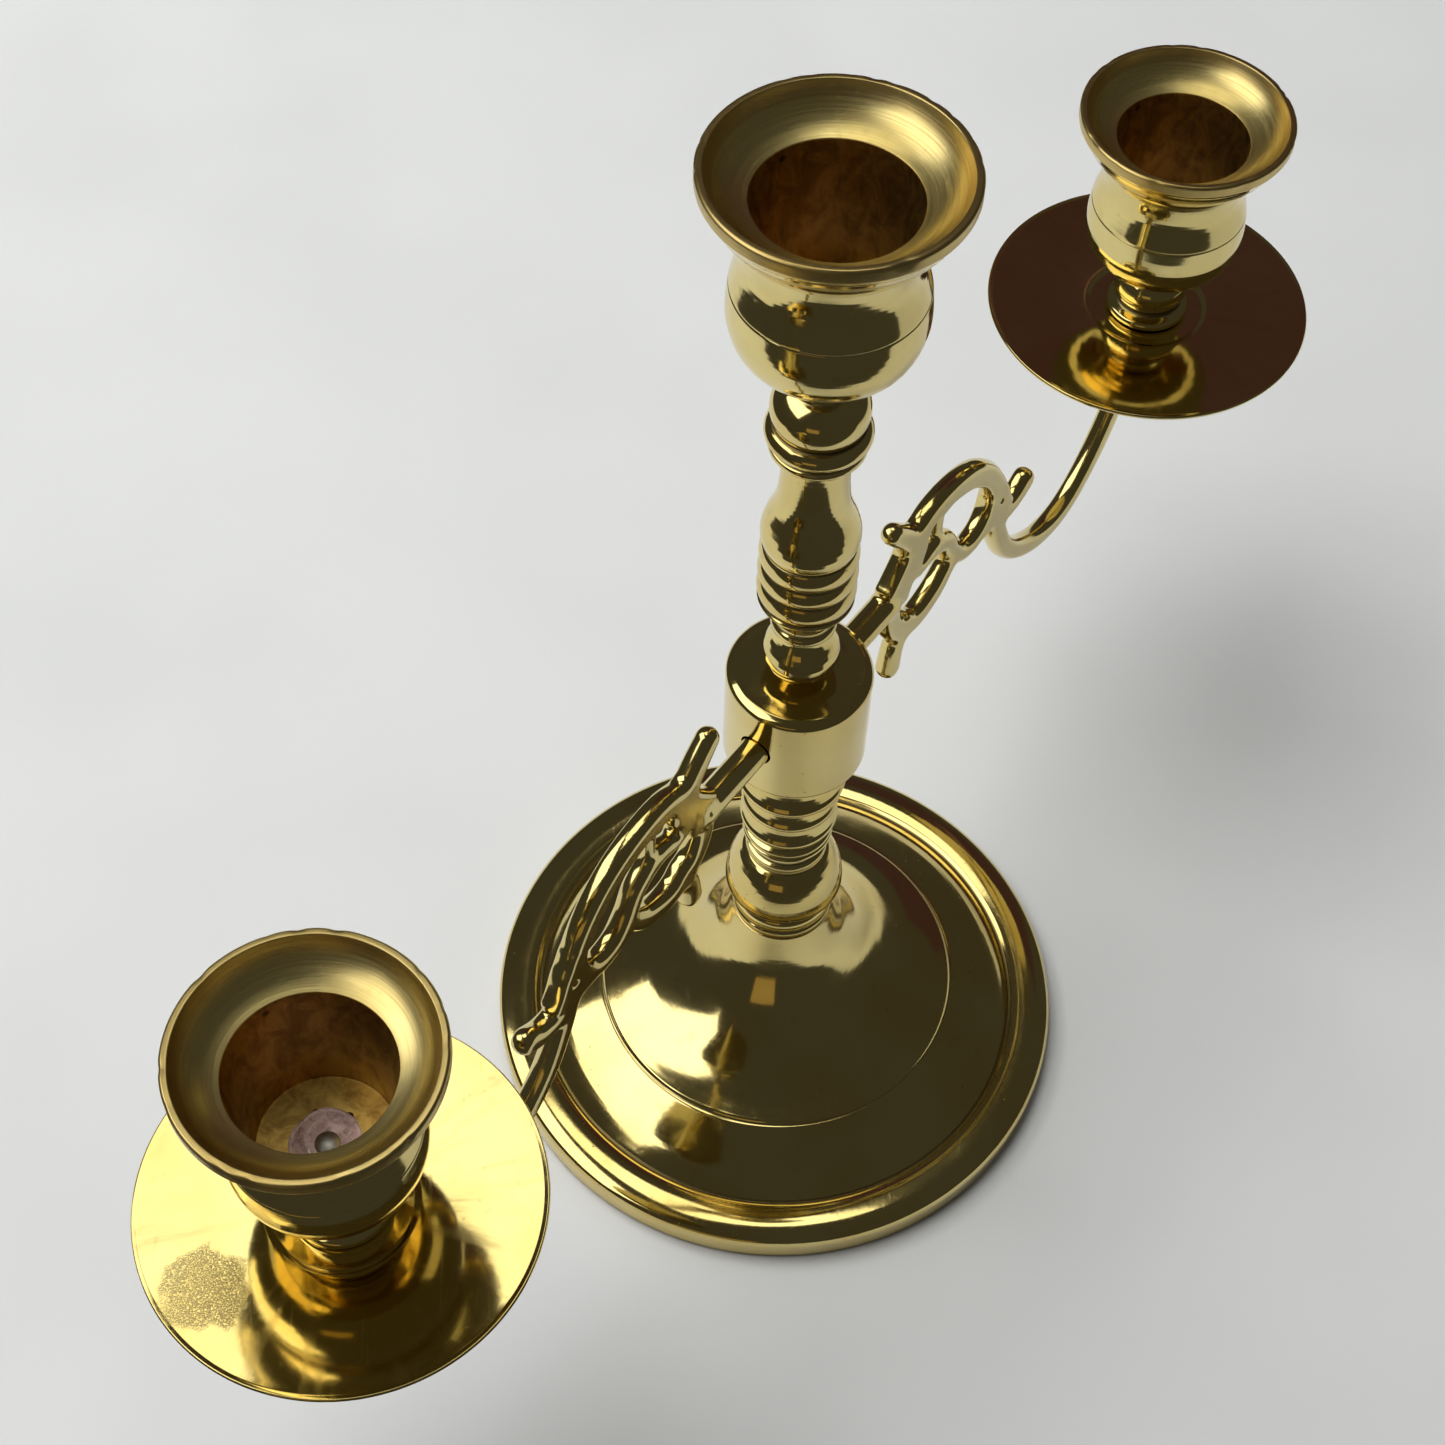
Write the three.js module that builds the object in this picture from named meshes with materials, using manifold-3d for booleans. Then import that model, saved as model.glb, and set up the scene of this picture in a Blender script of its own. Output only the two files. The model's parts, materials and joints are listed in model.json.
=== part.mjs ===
// Three-light tabletop candelabra in polished brass.
// Millimetres, +Z up. The origin is on the table, at the middle of the foot.
// The arms lie along X: the left arm reaches to -X, the right arm to +X.

import * as THREE from "three";
import { mergeVertices } from "three/addons/utils/BufferGeometryUtils.js";
import Module from "manifold-3d";

const wasm = await Module();
wasm.setup();

// ---- driving dimensions ----

const GAP = 0.3;               // between pieces that touch
const FOOT_R = 51.57;          // outside of the foot
const FOOT_WALL = 1.7;         // thickness of the foot's shell
const DOME_TOP_Z = 37.2;       // where the collar sits on the dome
const COLLAR_TOP_Z = 44.0;
const HUB_R = 11.5;
const HUB_BOTTOM_Z = 84.2;
const HUB_TOP_Z = 105.6;
const VASE_TOP_Z = 156.0;      // upper stem ends here, under the knop's rings

const CUP_RIM_R = 17.69;
const CUP_HEIGHT = 31.4;       // from the seat under the cup to the rim
const CUP_MOUTH_R = 11.0;      // bore at the mouth, for a 7/8 inch candle
const CUP_FLOOR_R = 9.2;       // bore at the floor
const CUP_MOUTH_DROP = 4.9;    // mouth of the bore, below the rim
const CUP_FLOOR_DROP = 24.3;   // floor of the bore, below the rim
const CENTER_RIM_Z = 205.97;
const SIDE_RIM_Z = 141.75;

const ARM_REACH = 107.0;       // stem axis to side cup axis
const PEG_Z = 96.0;            // height of the peg that enters the hub
const PEG_R = 2.5;
const PEG_START = 4.3;         // inner end of the peg, beside the tie rod
const PEG_END = 26.0;          // where the peg runs into the scroll

const PAN_R = 28.2;
const PAN_Z = 97.7;            // underside of the pan's flat middle
const PAN_WALL = 0.9;
const PAN_LIP_Z = 99.9;
const PAN_WELL_R = 10.0;

const ROD_R = 2.5;             // tie rod
const STUD_R = 2.0;            // cup studs
const NUT_FLATS = 8.0;         // cup nuts, across flats
const POCKET_FLATS = 8.6;      // hexagonal pocket in each cup floor
const POCKET_DEPTH = 3.4;
const CUP_NUT_HEIGHT = 2.4;
const BASE_NUT_FLATS = 10.0;
const BASE_NUT_HEIGHT = 4.0;
const WASHER_R = 6.6;
const WASHER_THICKNESS = 1.2;

const TURNED_SIDES = 20;       // flats round a stem piece
const CUP_SIDES = 28;
const WIDE_SIDES = 40;         // foot and pans
const ARC_STEPS = 2;           // straight stretches in one rounded stretch of a profile
const BAR_SIDES = 8;           // flats round an arm bar
const BAR_STEP = 4.2;          // length of a straight stretch of an arm bar

// ---- finishes ----

function brass(color, roughness) {
  return new THREE.MeshStandardMaterial({ color, roughness, metalness: 1.0 });
}

const POLISHED = { color: "#b8954a", roughness: 0.12 };
const SATIN = { color: "#ad8c45", roughness: 0.3 };
const PLAIN_STEEL = { color: "#8c8c88", roughness: 0.4 };

// ---- shaping helpers ----

// A profile row is [radius, height, swell]. The swell says how far the stretch that
// ends at the row bows out to its right, seen in the direction of travel. Zero is straight.
function profilePoints(rows) {
  const points = [];
  rows.forEach(([r, z, swell = 0], i) => {
    const end = new THREE.Vector2(r, z);
    if (swell !== 0) {
      const start = new THREE.Vector2(rows[i - 1][0], rows[i - 1][1]);
      const chord = end.clone().sub(start);
      const side = new THREE.Vector2(chord.y, -chord.x).normalize();
      for (let k = 1; k < ARC_STEPS; k += 1) {
        const t = k / ARC_STEPS;
        const bow = 4 * swell * t * (1 - t);
        points.push(start.clone().addScaledVector(chord, t).addScaledVector(side, bow));
      }
    }
    points.push(end);
  });
  return points;
}

// Turns a closed profile round the Z axis. Rows run up the outside and down the inside.
function turned(rows, sides = TURNED_SIDES) {
  const points = profilePoints(rows);
  points.push(points[0].clone());
  const geometry = new THREE.LatheGeometry(points, sides);
  geometry.rotateX(Math.PI / 2);
  return geometry;
}

// A turned piece with a straight hole of the given radius down its middle.
function turnedWithHole(outside, holeR, sides = TURNED_SIDES) {
  const bottom = outside[0][1];
  const top = outside[outside.length - 1][1];
  return turned([...outside, [holeR, top], [holeR, bottom]], sides);
}

// A flat outline with equal sides, its corners on a circle.
function evenOutline(sides, cornerR) {
  const corners = [];
  for (let i = 0; i < sides; i += 1) {
    const angle = (i * 2 * Math.PI) / sides;
    corners.push(new THREE.Vector2(cornerR * Math.cos(angle), cornerR * Math.sin(angle)));
  }
  return new THREE.Shape(corners);
}

function hexPrism(flats, height, holeR = 0) {
  const shape = evenOutline(6, flats / Math.sqrt(3));
  if (holeR > 0) {
    const hole = new THREE.Path();
    hole.absarc(0, 0, holeR, 0, 2 * Math.PI, true);
    shape.holes.push(hole);
  }
  return new THREE.ExtrudeGeometry(shape, { depth: height, bevelEnabled: false, curveSegments: 6 });
}

function uprightCylinder(bottomR, topR, fromZ, toZ, sides) {
  const geometry = new THREE.CylinderGeometry(topR, bottomR, toZ - fromZ, sides);
  geometry.rotateX(Math.PI / 2);
  geometry.translate(0, 0, (fromZ + toZ) / 2);
  return geometry;
}

function cylinderAlongX(r, fromX, toX, z, sides) {
  const geometry = new THREE.CylinderGeometry(r, r, toX - fromX, sides);
  geometry.rotateZ(Math.PI / 2);
  geometry.translate((fromX + toX) / 2, 0, z);
  return geometry;
}

function solid(geometry) {
  const bare = geometry.clone();
  bare.deleteAttribute("normal");
  bare.deleteAttribute("uv");
  const merged = mergeVertices(bare, 1e-4);
  const mesh = new wasm.Mesh({
    numProp: 3,
    vertProperties: Float32Array.from(merged.attributes.position.array),
    triVerts: Uint32Array.from(merged.index.array),
  });
  mesh.merge();
  return new wasm.Manifold(mesh);
}

function geometryOf(manifold) {
  const mesh = manifold.getMesh();
  const geometry = new THREE.BufferGeometry();
  geometry.setAttribute("position", new THREE.BufferAttribute(mesh.vertProperties, 3));
  geometry.setIndex(new THREE.BufferAttribute(mesh.triVerts, 1));
  geometry.computeVertexNormals();
  return geometry;
}

function joined(geometries) {
  return geometries.map(solid).reduce((whole, piece) => whole.add(piece));
}

const candelabra = new THREE.Group();
candelabra.name = "candelabra";

function addPiece(name, geometry, finish, parent = candelabra) {
  const mesh = new THREE.Mesh(geometry, brass(finish.color, finish.roughness));
  mesh.name = name;
  parent.add(mesh);
  return mesh;
}

// ---- foot ----

// The shell's outside, from the table up to the land that the collar sits on.
const FOOT_OUTSIDE = [
  [FOOT_R, 0],
  [FOOT_R, 4.2],
  [50.6, 5.4, 0.2],
  [44.6, 5.8, 0.6],
  [43.8, 5.2],
  [42.9, 5.8],
  [39.4, 8.6, 0.14],
  [32.4, 12.5],
  [31.5, 13.1],
  [25.0, 15.7, -0.2],
  [18.6, 20.5, -0.25],
  [12.2, 28.3, -0.4],
  [9.4, 34.8, -0.15],
  [8.6, DOME_TOP_Z],
];

// The inside follows the outside, one wall thickness in.
const FOOT_INSIDE = [
  [ROD_R + GAP, DOME_TOP_Z],
  [ROD_R + GAP, DOME_TOP_Z - 2.0],
  [7.2, DOME_TOP_Z - 2.0],
  [8.9, 30.9],
  [10.7, 27.4],
  [14.1, 22.5],
  [17.5, 19.2],
  [24.2, 14.2],
  [31.4, 11.2],
  [38.6, 7.2],
  [41.8, 4.4],
  [43.8, 3.4],
  [48.8, 3.8, -0.3],
  [FOOT_R - FOOT_WALL, 2.8],
  [FOOT_R - FOOT_WALL, 0],
];

addPiece("base_foot", turned([...FOOT_OUTSIDE, ...FOOT_INSIDE], WIDE_SIDES), POLISHED);

const washerTop = DOME_TOP_Z - 2.0 - GAP;
const washerBottom = washerTop - WASHER_THICKNESS;
addPiece(
  "base_washer",
  turnedWithHole([[WASHER_R, washerBottom], [WASHER_R, washerTop]], ROD_R + GAP),
  PLAIN_STEEL,
);

const baseNutBottom = washerBottom - GAP - BASE_NUT_HEIGHT;
const baseNut = addPiece(
  "base_nut",
  hexPrism(BASE_NUT_FLATS, BASE_NUT_HEIGHT, ROD_R + GAP),
  PLAIN_STEEL,
);
baseNut.position.z = baseNutBottom;

// ---- stem ----

const pocketFloorZ = CENTER_RIM_Z - CUP_FLOOR_DROP - POCKET_DEPTH;
const rodBottom = baseNutBottom - 3.0;
const rodTop = pocketFloorZ + CUP_NUT_HEIGHT + 0.4;
addPiece("tie_rod", uprightCylinder(ROD_R, ROD_R, rodBottom, rodTop, 16), PLAIN_STEEL);

addPiece(
  "stem_collar",
  turnedWithHole(
    [
      [8.55, DOME_TOP_Z + GAP],
      [8.75, 38.6, 0.1],
      [8.4, 39.2],
      [8.75, 39.8],
      [8.75, 41.8, 0.15],
      [8.2, COLLAR_TOP_Z],
    ],
    ROD_R + GAP,
  ),
  POLISHED,
);

addPiece(
  "lower_stem",
  turnedWithHole(
    [
      [8.3, COLLAR_TOP_Z + GAP],
      [10.15, 45.8, 0.2],
      [9.5, 50.4, 0.25],
      [6.5, 55.4, 0.5],
      [6.9, 55.7],
      [6.9, 57.4],
      [6.3, 57.8],
      [6.3, 60.0],
      [7.4, 60.7],
      [7.4, 62.7],
      [6.6, 63.3],
      [6.6, 64.9],
      [8.1, 65.6],
      [8.1, 66.6],
      [7.2, 70.1, -0.2],
      [8.0, 70.7],
      [8.0, 71.6],
      [7.1, 75.7, -0.3],
      [8.9, 76.5],
      [8.9, 77.4],
      [7.7, HUB_BOTTOM_Z - GAP, -0.4],
    ],
    ROD_R + GAP,
  ),
  POLISHED,
);

function hubGeometry() {
  const drum = solid(
    turnedWithHole(
      [
        [10.2, HUB_BOTTOM_Z],
        [HUB_R, 86.2],
        [HUB_R, 103.9],
        [10.5, 105.3, 0.2],
        [10.0, HUB_TOP_Z],
      ],
      ROD_R + GAP,
      CUP_SIDES,
    ),
  );
  const boreEnd = PEG_START - GAP;
  const bores = joined([
    cylinderAlongX(PEG_R + GAP, boreEnd, HUB_R + 2, PEG_Z, 16),
    cylinderAlongX(PEG_R + GAP, -HUB_R - 2, -boreEnd, PEG_Z, 16),
  ]);
  return geometryOf(drum.subtract(bores));
}

addPiece("arm_hub", hubGeometry(), POLISHED);

addPiece(
  "upper_stem",
  turnedWithHole(
    [
      [3.6, HUB_TOP_Z + GAP],
      [5.9, 110.2, 0.6],
      [4.4, 115.0, 0.4],
      [4.4, 116.7],
      [5.0, 117.3],
      [5.0, 118.3],
      [4.6, 119.0],
      [7.0, 124.2, -0.4],
      [7.0, 128.1, 0.5],
      [7.0, 132.0, 0.5],
      [7.0, 136.0, 0.5],
      [7.3, 139.4, 0.2],
      [5.7, 144.3, 0.25],
      [5.0, 150.5, -0.3],
      [5.1, VASE_TOP_Z],
    ],
    ROD_R + GAP,
  ),
  POLISHED,
);

addPiece(
  "ball_knop",
  turnedWithHole(
    [
      [6.4, VASE_TOP_Z + GAP],
      [6.6, 157.9, 0.4],
      [6.8, 161.2, 0.85],
      [6.3, 161.5],
      [4.3, 168.6, 1.5],
      [3.9, 170.6],
      [5.2, 171.8],
      [5.2, 173.2],
      [4.6, CENTER_RIM_Z - CUP_HEIGHT - GAP],
    ],
    ROD_R + GAP,
  ),
  POLISHED,
);

// ---- candle cups ----

// Heights are measured up from the cup's seat.
function cupGeometry(holeR) {
  const rim = CUP_HEIGHT;
  const floor = rim - CUP_FLOOR_DROP;
  const body = solid(
    turned(
      [
        [holeR, 0],
        [6.4, 0],
        [10.4, 1.3, 0.2],
        [12.6, 4.2, 0.2],
        [13.4, 8.6, 0.25],
        [13.1, 12.8, 0.1],
        [12.0, 17.2],
        [12.5, 22.3, -0.25],
        [17.0, 28.4, 0.4],
        [CUP_RIM_R, 29.4],
        [CUP_RIM_R, rim - 0.3],
        [CUP_RIM_R - 0.3, rim],
        [CUP_RIM_R - 1.1, rim],
        [CUP_MOUTH_R, rim - CUP_MOUTH_DROP, -0.9],
        [CUP_FLOOR_R, floor],
        [holeR, floor],
      ],
      CUP_SIDES,
    ),
  );
  const pocket = hexPrism(POCKET_FLATS, POCKET_DEPTH + 1);
  pocket.translate(0, 0, floor - POCKET_DEPTH);
  return geometryOf(body.subtract(solid(pocket)));
}

function addCup(name, x, rimZ, holeR, parent) {
  const cup = addPiece(`${name}_cup`, cupGeometry(holeR), SATIN, parent);
  cup.position.set(x, 0, rimZ - CUP_HEIGHT);
  const nut = addPiece(
    `${name}_cup_nut`,
    hexPrism(NUT_FLATS, CUP_NUT_HEIGHT, holeR),
    PLAIN_STEEL,
    parent,
  );
  nut.position.set(x, 0, rimZ - CUP_FLOOR_DROP - POCKET_DEPTH + GAP);
}

addCup("center", 0, CENTER_RIM_Z, ROD_R + GAP, candelabra);

// ---- scroll arms, drawn in the XZ plane with X measured from the stem axis ----

// Each bar: its radius, then the points [reach, height] that its middle passes through.
const SCROLL_BARS = {
  horn: [2.2, [[24.4, 114.0], [27.5, 110.5], [30.5, 106.5], [32.0, 103.5]]],
  arch: [
    2.4,
    [[30.5, 107.2], [36, 109.2], [42.5, 108.8], [48.5, 106.3], [53.5, 101.8], [56.8, 96.5], [58.5, 91]],
  ],
  ring: [
    2.25,
    [[30.5, 106], [27, 100], [25.6, 93], [28, 86.5], [34, 83.2], [40, 84.8], [44.2, 89]],
  ],
  curl: [
    2.0,
    [[33, 97.3], [37.5, 98.4], [41.8, 96], [44.3, 91.5], [47.5, 87.6], [52, 86.8], [55.8, 89.5], [58.3, 93]],
  ],
  strut: [1.2, [[39, 98.4], [38.6, 103], [38.6, 108.6]]],
  lower_horn: [2.0, [[30.5, 85.2], [28.8, 80.2], [28.2, 75.6]]],
  outer_horn: [2.1, [[57.5, 87.6], [62, 84.9], [65.8, 85.2], [68.6, 86.8]]],
  goose_neck: [
    2.15,
    [
      [58.3, 92], [59, 86], [61, 80], [64.5, 73], [70, 67], [77, 62.7], [84, 61.3], [90, 63.2],
      [96, 68.8], [100.7, 76], [104.2, 83], [106.4, 89], [107, 93],
    ],
  ],
};
const BOSS_R = 4.2;            // top of the arm, under the pan
const BOSS_FOOT_Z = 86.5;
const BOSS_SHOULDER_Z = 93.0;
const STUD_HOLE_Z = 89.0;      // bottom of the hole that the stud stands in

function bar([r, path]) {
  const curve = new THREE.CatmullRomCurve3(path.map(([x, z]) => new THREE.Vector3(x, 0, z)));
  const steps = Math.max(3, Math.round(curve.getLength() / BAR_STEP));
  const section = evenOutline(BAR_SIDES, r);
  const pieces = [new THREE.ExtrudeGeometry(section, { steps, extrudePath: curve })];
  for (const [x, z] of [path[0], path[path.length - 1]]) {
    const end = new THREE.SphereGeometry(r, BAR_SIDES, 6);
    end.rotateX(Math.PI / 2);
    end.translate(x, 0, z);
    pieces.push(end);
  }
  return joined(pieces);
}

function armGeometry() {
  const bossTop = PAN_Z - GAP;
  const scroll = Object.values(SCROLL_BARS)
    .map(bar)
    .reduce((whole, piece) => whole.add(piece));
  const boss = joined([
    uprightCylinder(STUD_R + 0.2, BOSS_R, BOSS_FOOT_Z, BOSS_SHOULDER_Z, 16),
    uprightCylinder(BOSS_R, BOSS_R, BOSS_SHOULDER_Z - 0.1, bossTop, 16),
  ]).translate([ARM_REACH, 0, 0]);
  const studHole = solid(
    uprightCylinder(STUD_R + GAP, STUD_R + GAP, STUD_HOLE_Z, bossTop + 1, 12),
  ).translate([ARM_REACH, 0, 0]);
  const peg = solid(cylinderAlongX(PEG_R, PEG_START, PEG_END, PEG_Z, 16));
  return geometryOf(scroll.add(peg).add(boss).subtract(studHole));
}

function panGeometry() {
  return turned(
    [
      [STUD_R + GAP, PAN_Z],
      [PAN_WELL_R, PAN_Z],
      [PAN_WELL_R + 0.8, PAN_Z + 0.4],
      [PAN_R - 0.8, PAN_LIP_Z - 1.0],
      [PAN_R, PAN_LIP_Z - 0.6],
      [PAN_R, PAN_LIP_Z],
      [PAN_R - 0.8, PAN_LIP_Z - 0.15],
      [PAN_WELL_R + 0.6, PAN_Z + PAN_WALL + 0.35],
      [PAN_WELL_R - 0.2, PAN_Z + PAN_WALL],
      [STUD_R + GAP, PAN_Z + PAN_WALL],
    ],
    WIDE_SIDES,
  );
}

function spacerGeometry() {
  const bottom = PAN_Z + PAN_WALL + GAP;
  const top = SIDE_RIM_Z - CUP_HEIGHT - GAP;
  return turnedWithHole(
    [
      [6.9, bottom],
      [6.9, bottom + 1.5, 0.35],
      [5.6, bottom + 2.2],
      [4.4, top - 1.8, 1.5],
      [5.0, top - 1.2],
      [5.0, top],
    ],
    STUD_R + GAP,
  );
}

function addArm(side, turn) {
  const branch = new THREE.Group();
  branch.rotation.z = turn;
  candelabra.add(branch);
  addPiece(`${side}_arm`, armGeometry(), POLISHED, branch);
  const studBottom = STUD_HOLE_Z + GAP;
  const studTop = SIDE_RIM_Z - CUP_FLOOR_DROP - POCKET_DEPTH + CUP_NUT_HEIGHT + 0.5;
  const stud = addPiece(
    `${side}_cup_stud`,
    uprightCylinder(STUD_R, STUD_R, studBottom, studTop, 12),
    PLAIN_STEEL,
    branch,
  );
  stud.position.x = ARM_REACH;
  const pan = addPiece(`${side}_drip_pan`, panGeometry(), POLISHED, branch);
  pan.position.x = ARM_REACH;
  const spacer = addPiece(`${side}_cup_spacer`, spacerGeometry(), POLISHED, branch);
  spacer.position.x = ARM_REACH;
  addCup(side, ARM_REACH, SIDE_RIM_Z, STUD_R + GAP, branch);
}

addArm("right", 0);
addArm("left", Math.PI);

export default candelabra;
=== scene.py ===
import json
import math

import bpy
import numpy as np
from mathutils import Matrix, Vector

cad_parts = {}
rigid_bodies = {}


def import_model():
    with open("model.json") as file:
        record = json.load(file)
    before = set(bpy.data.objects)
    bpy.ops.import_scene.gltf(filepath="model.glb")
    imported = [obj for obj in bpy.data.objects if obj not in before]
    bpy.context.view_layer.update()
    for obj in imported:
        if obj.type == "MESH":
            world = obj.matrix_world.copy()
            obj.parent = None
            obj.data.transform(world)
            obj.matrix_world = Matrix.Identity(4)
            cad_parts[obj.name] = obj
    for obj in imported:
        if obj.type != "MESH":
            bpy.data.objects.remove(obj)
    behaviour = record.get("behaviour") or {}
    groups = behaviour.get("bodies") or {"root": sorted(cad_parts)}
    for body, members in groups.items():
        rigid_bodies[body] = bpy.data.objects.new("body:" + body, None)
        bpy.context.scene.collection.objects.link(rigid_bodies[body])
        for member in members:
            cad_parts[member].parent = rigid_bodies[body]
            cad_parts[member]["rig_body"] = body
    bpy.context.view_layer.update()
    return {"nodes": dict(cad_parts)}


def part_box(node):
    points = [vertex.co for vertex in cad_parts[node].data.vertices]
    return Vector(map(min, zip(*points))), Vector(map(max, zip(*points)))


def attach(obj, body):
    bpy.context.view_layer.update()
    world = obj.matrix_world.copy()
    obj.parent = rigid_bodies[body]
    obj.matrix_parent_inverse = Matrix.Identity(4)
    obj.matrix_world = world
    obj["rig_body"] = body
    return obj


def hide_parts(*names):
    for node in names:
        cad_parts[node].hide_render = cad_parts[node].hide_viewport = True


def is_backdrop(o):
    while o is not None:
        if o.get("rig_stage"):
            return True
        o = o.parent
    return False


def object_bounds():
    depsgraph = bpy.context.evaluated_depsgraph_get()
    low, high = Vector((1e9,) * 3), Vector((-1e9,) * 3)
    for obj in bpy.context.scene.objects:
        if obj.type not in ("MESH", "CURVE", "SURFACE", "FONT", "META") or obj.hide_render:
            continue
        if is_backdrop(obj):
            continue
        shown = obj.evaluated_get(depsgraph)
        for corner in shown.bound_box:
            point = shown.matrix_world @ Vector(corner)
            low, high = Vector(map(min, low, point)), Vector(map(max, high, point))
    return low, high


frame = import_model()

MM = 0.001

# ---------------------------------------------------------------------------------------
# Places taken from the frame, in millimetres
# ---------------------------------------------------------------------------------------


def middle(node):
    low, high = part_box(node)
    return tuple((low + high)[k] / 2 / MM for k in range(2))


def bottom(node):
    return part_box(node)[0].z / MM


def top(node):
    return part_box(node)[1].z / MM


SIDES = ("right", "left")
HOLDERS = ("center", "right", "left")
GAP = 0.3                    # left between pieces that touch
ROD_R = 2.5                  # tie rod
STUD_R = 2.0                 # cup studs
ROD_HOLE = ROD_R + GAP
STUD_HOLE = STUD_R + GAP
HUB_R = 11.5
PEG_R = 2.5
PEG_Z = 96.0
CUP_RIM_R = 17.69
CUP_MOUTH_R = 11.0
CUP_MOUTH_DROP = 4.9
CUP_FLOOR_R = 9.2
CUP_FLOOR_DROP = 24.3
POCKET_FLATS = 8.6
POCKET_DEPTH = 3.4
CUP_HEIGHT = 31.4
THREAD_PITCH = 0.7
GROOVE_REACH = 0.7           # how far round a point the eye for grooves looks
FAR = 6.0                    # a distance that counts as well clear of the metal

# ---------------------------------------------------------------------------------------
# Turning
# ---------------------------------------------------------------------------------------


def profile(rows, step, ease):
    """Rows are (radius, height, swell). A swell bows the stretch that ends at the row
    out to its right. Corners are eased by a small round. Returns the points; hollows()
    measures how hollow the profile is at each, for the darkening in grooves."""
    rows = [tuple(row) + (0.0,) * (3 - len(row)) for row in rows]
    runs = []
    for start, end in zip(rows, rows[1:] + rows[:1]):
        a, b = np.array(start[:2], float), np.array(end[:2], float)
        swell = end[2] if end is not rows[0] else 0.0
        chord = b - a
        length = np.linalg.norm(chord)
        if length < 1e-6:
            continue
        side = np.array([chord[1], -chord[0]]) / length
        t = np.linspace(0, 1, max(1, round(length / step)) + 1)
        runs.append(a + t[:, None] * chord + (4 * swell * t * (1 - t))[:, None] * side)
    points = []
    for before, after in zip(runs[-1:] + runs[:-1], runs):
        corner = after[0]
        if corner[0] < 1e-6:
            points.append(corner[None])
        else:
            back, ahead = before[-2] - corner, after[1] - corner
            cut_back = min(ease, 0.4 * np.linalg.norm(back)) / np.linalg.norm(back)
            cut_ahead = min(ease, 0.4 * np.linalg.norm(ahead)) / np.linalg.norm(ahead)
            p, q = corner + back * cut_back, corner + ahead * cut_ahead
            t = np.linspace(0, 1, 5)[:, None]
            points.append((1 - t) ** 2 * p + 2 * t * (1 - t) * corner + t**2 * q)
        points.append(after[1:-1])
    return np.concatenate(points)


def hollows(points, reach):
    """How far each profile point lies inside the line between its neighbours a reach away."""
    gaps = np.linalg.norm(np.roll(points, -1, 0) - points, axis=1)
    along = np.concatenate([[0], np.cumsum(gaps)[:-1]])
    total = gaps.sum()
    loop = np.vstack([points, points, points])
    place = np.concatenate([along - total, along, along + total])
    ahead, behind = along + reach, along - reach
    a = np.stack([np.interp(behind, place, loop[:, k]) for k in range(2)], 1)
    b = np.stack([np.interp(ahead, place, loop[:, k]) for k in range(2)], 1)
    chord = b - a
    outward = np.stack([chord[:, 1], -chord[:, 0]], 1)
    outward /= np.maximum(np.linalg.norm(chord, axis=1), 1e-9)[:, None]
    depth = -((points - (a + b) / 2) * outward).sum(1) / reach
    return np.clip(depth, -1, 1)


def smooth_path(nodes, spacing):
    """A smooth curve through rows of numbers, evenly spaced along its first two."""
    nodes = np.array(nodes, float)
    padded = np.vstack([2 * nodes[0] - nodes[1], nodes, 2 * nodes[-1] - nodes[-2]])
    made = []
    for k in range(1, len(padded) - 2):
        p0, p1, p2, p3 = padded[k - 1 : k + 3]
        count = max(2, round(np.linalg.norm(p2[:2] - p1[:2]) / spacing))
        t = (np.arange(count) / count)[:, None]
        made.append(
            0.5 * (2 * p1 + (p2 - p0) * t + (2 * p0 - 5 * p1 + 4 * p2 - p3) * t**2
                   + (3 * p1 - p0 - 3 * p2 + p3) * t**3)
        )
    made.append(nodes[-1:])
    return np.concatenate(made)


def bowed(*nodes, spacing=0.9):
    """Profile rows along a smooth curve through the nodes."""
    return [tuple(point) for point in smooth_path(nodes, spacing)]


def mesh_piece(name, points, faces, marks=None, crease=35):
    """Makes a smooth-shaded piece from points in millimetres."""
    mesh = bpy.data.meshes.new(name)
    mesh.from_pydata((np.asarray(points) * MM).tolist(), [], [list(f) for f in faces])
    for mark, values in (marks or {}).items():
        layer = mesh.attributes.new(mark, "FLOAT", "POINT")
        layer.data.foreach_set("value", np.asarray(values, np.float32))
    mesh.validate()
    mesh.update()
    mesh.shade_smooth()
    mesh.set_sharp_from_angle(angle=math.radians(crease))
    piece = bpy.data.objects.new(name, mesh)
    bpy.context.scene.collection.objects.link(piece)
    return piece


def turned(name, rows, at=(0.0, 0.0), sides=160, step=0.5, ease=0.2, crease=40):
    """Turns a closed profile round an upright axis."""
    outline = profile(rows, step, ease)
    hollow = hollows(outline, GROOVE_REACH)
    angle = np.arange(sides) * 2 * math.pi / sides
    count = len(outline)
    ring = np.stack([np.cos(angle), np.sin(angle)], 1)
    points = np.zeros((count, sides, 3))
    points[..., :2] = outline[:, 0, None, None] * ring[None] + np.array(at)
    points[..., 2] = outline[:, 1, None]
    i, j = np.meshgrid(np.arange(count), np.arange(sides), indexing="ij")
    i2, j2 = (i + 1) % count, (j + 1) % sides
    faces = np.stack([i * sides + j, i * sides + j2, i2 * sides + j2, i2 * sides + j], -1)
    return mesh_piece(
        name,
        points.reshape(-1, 3),
        faces.reshape(-1, 4),
        {"hollow": np.repeat(hollow, sides)},
        crease,
    )


def with_hole(outside, hole):
    """Closes an outside profile with a straight hole down the middle."""
    return [*outside, (hole, outside[-1][1]), (hole, outside[0][1])]


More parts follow.
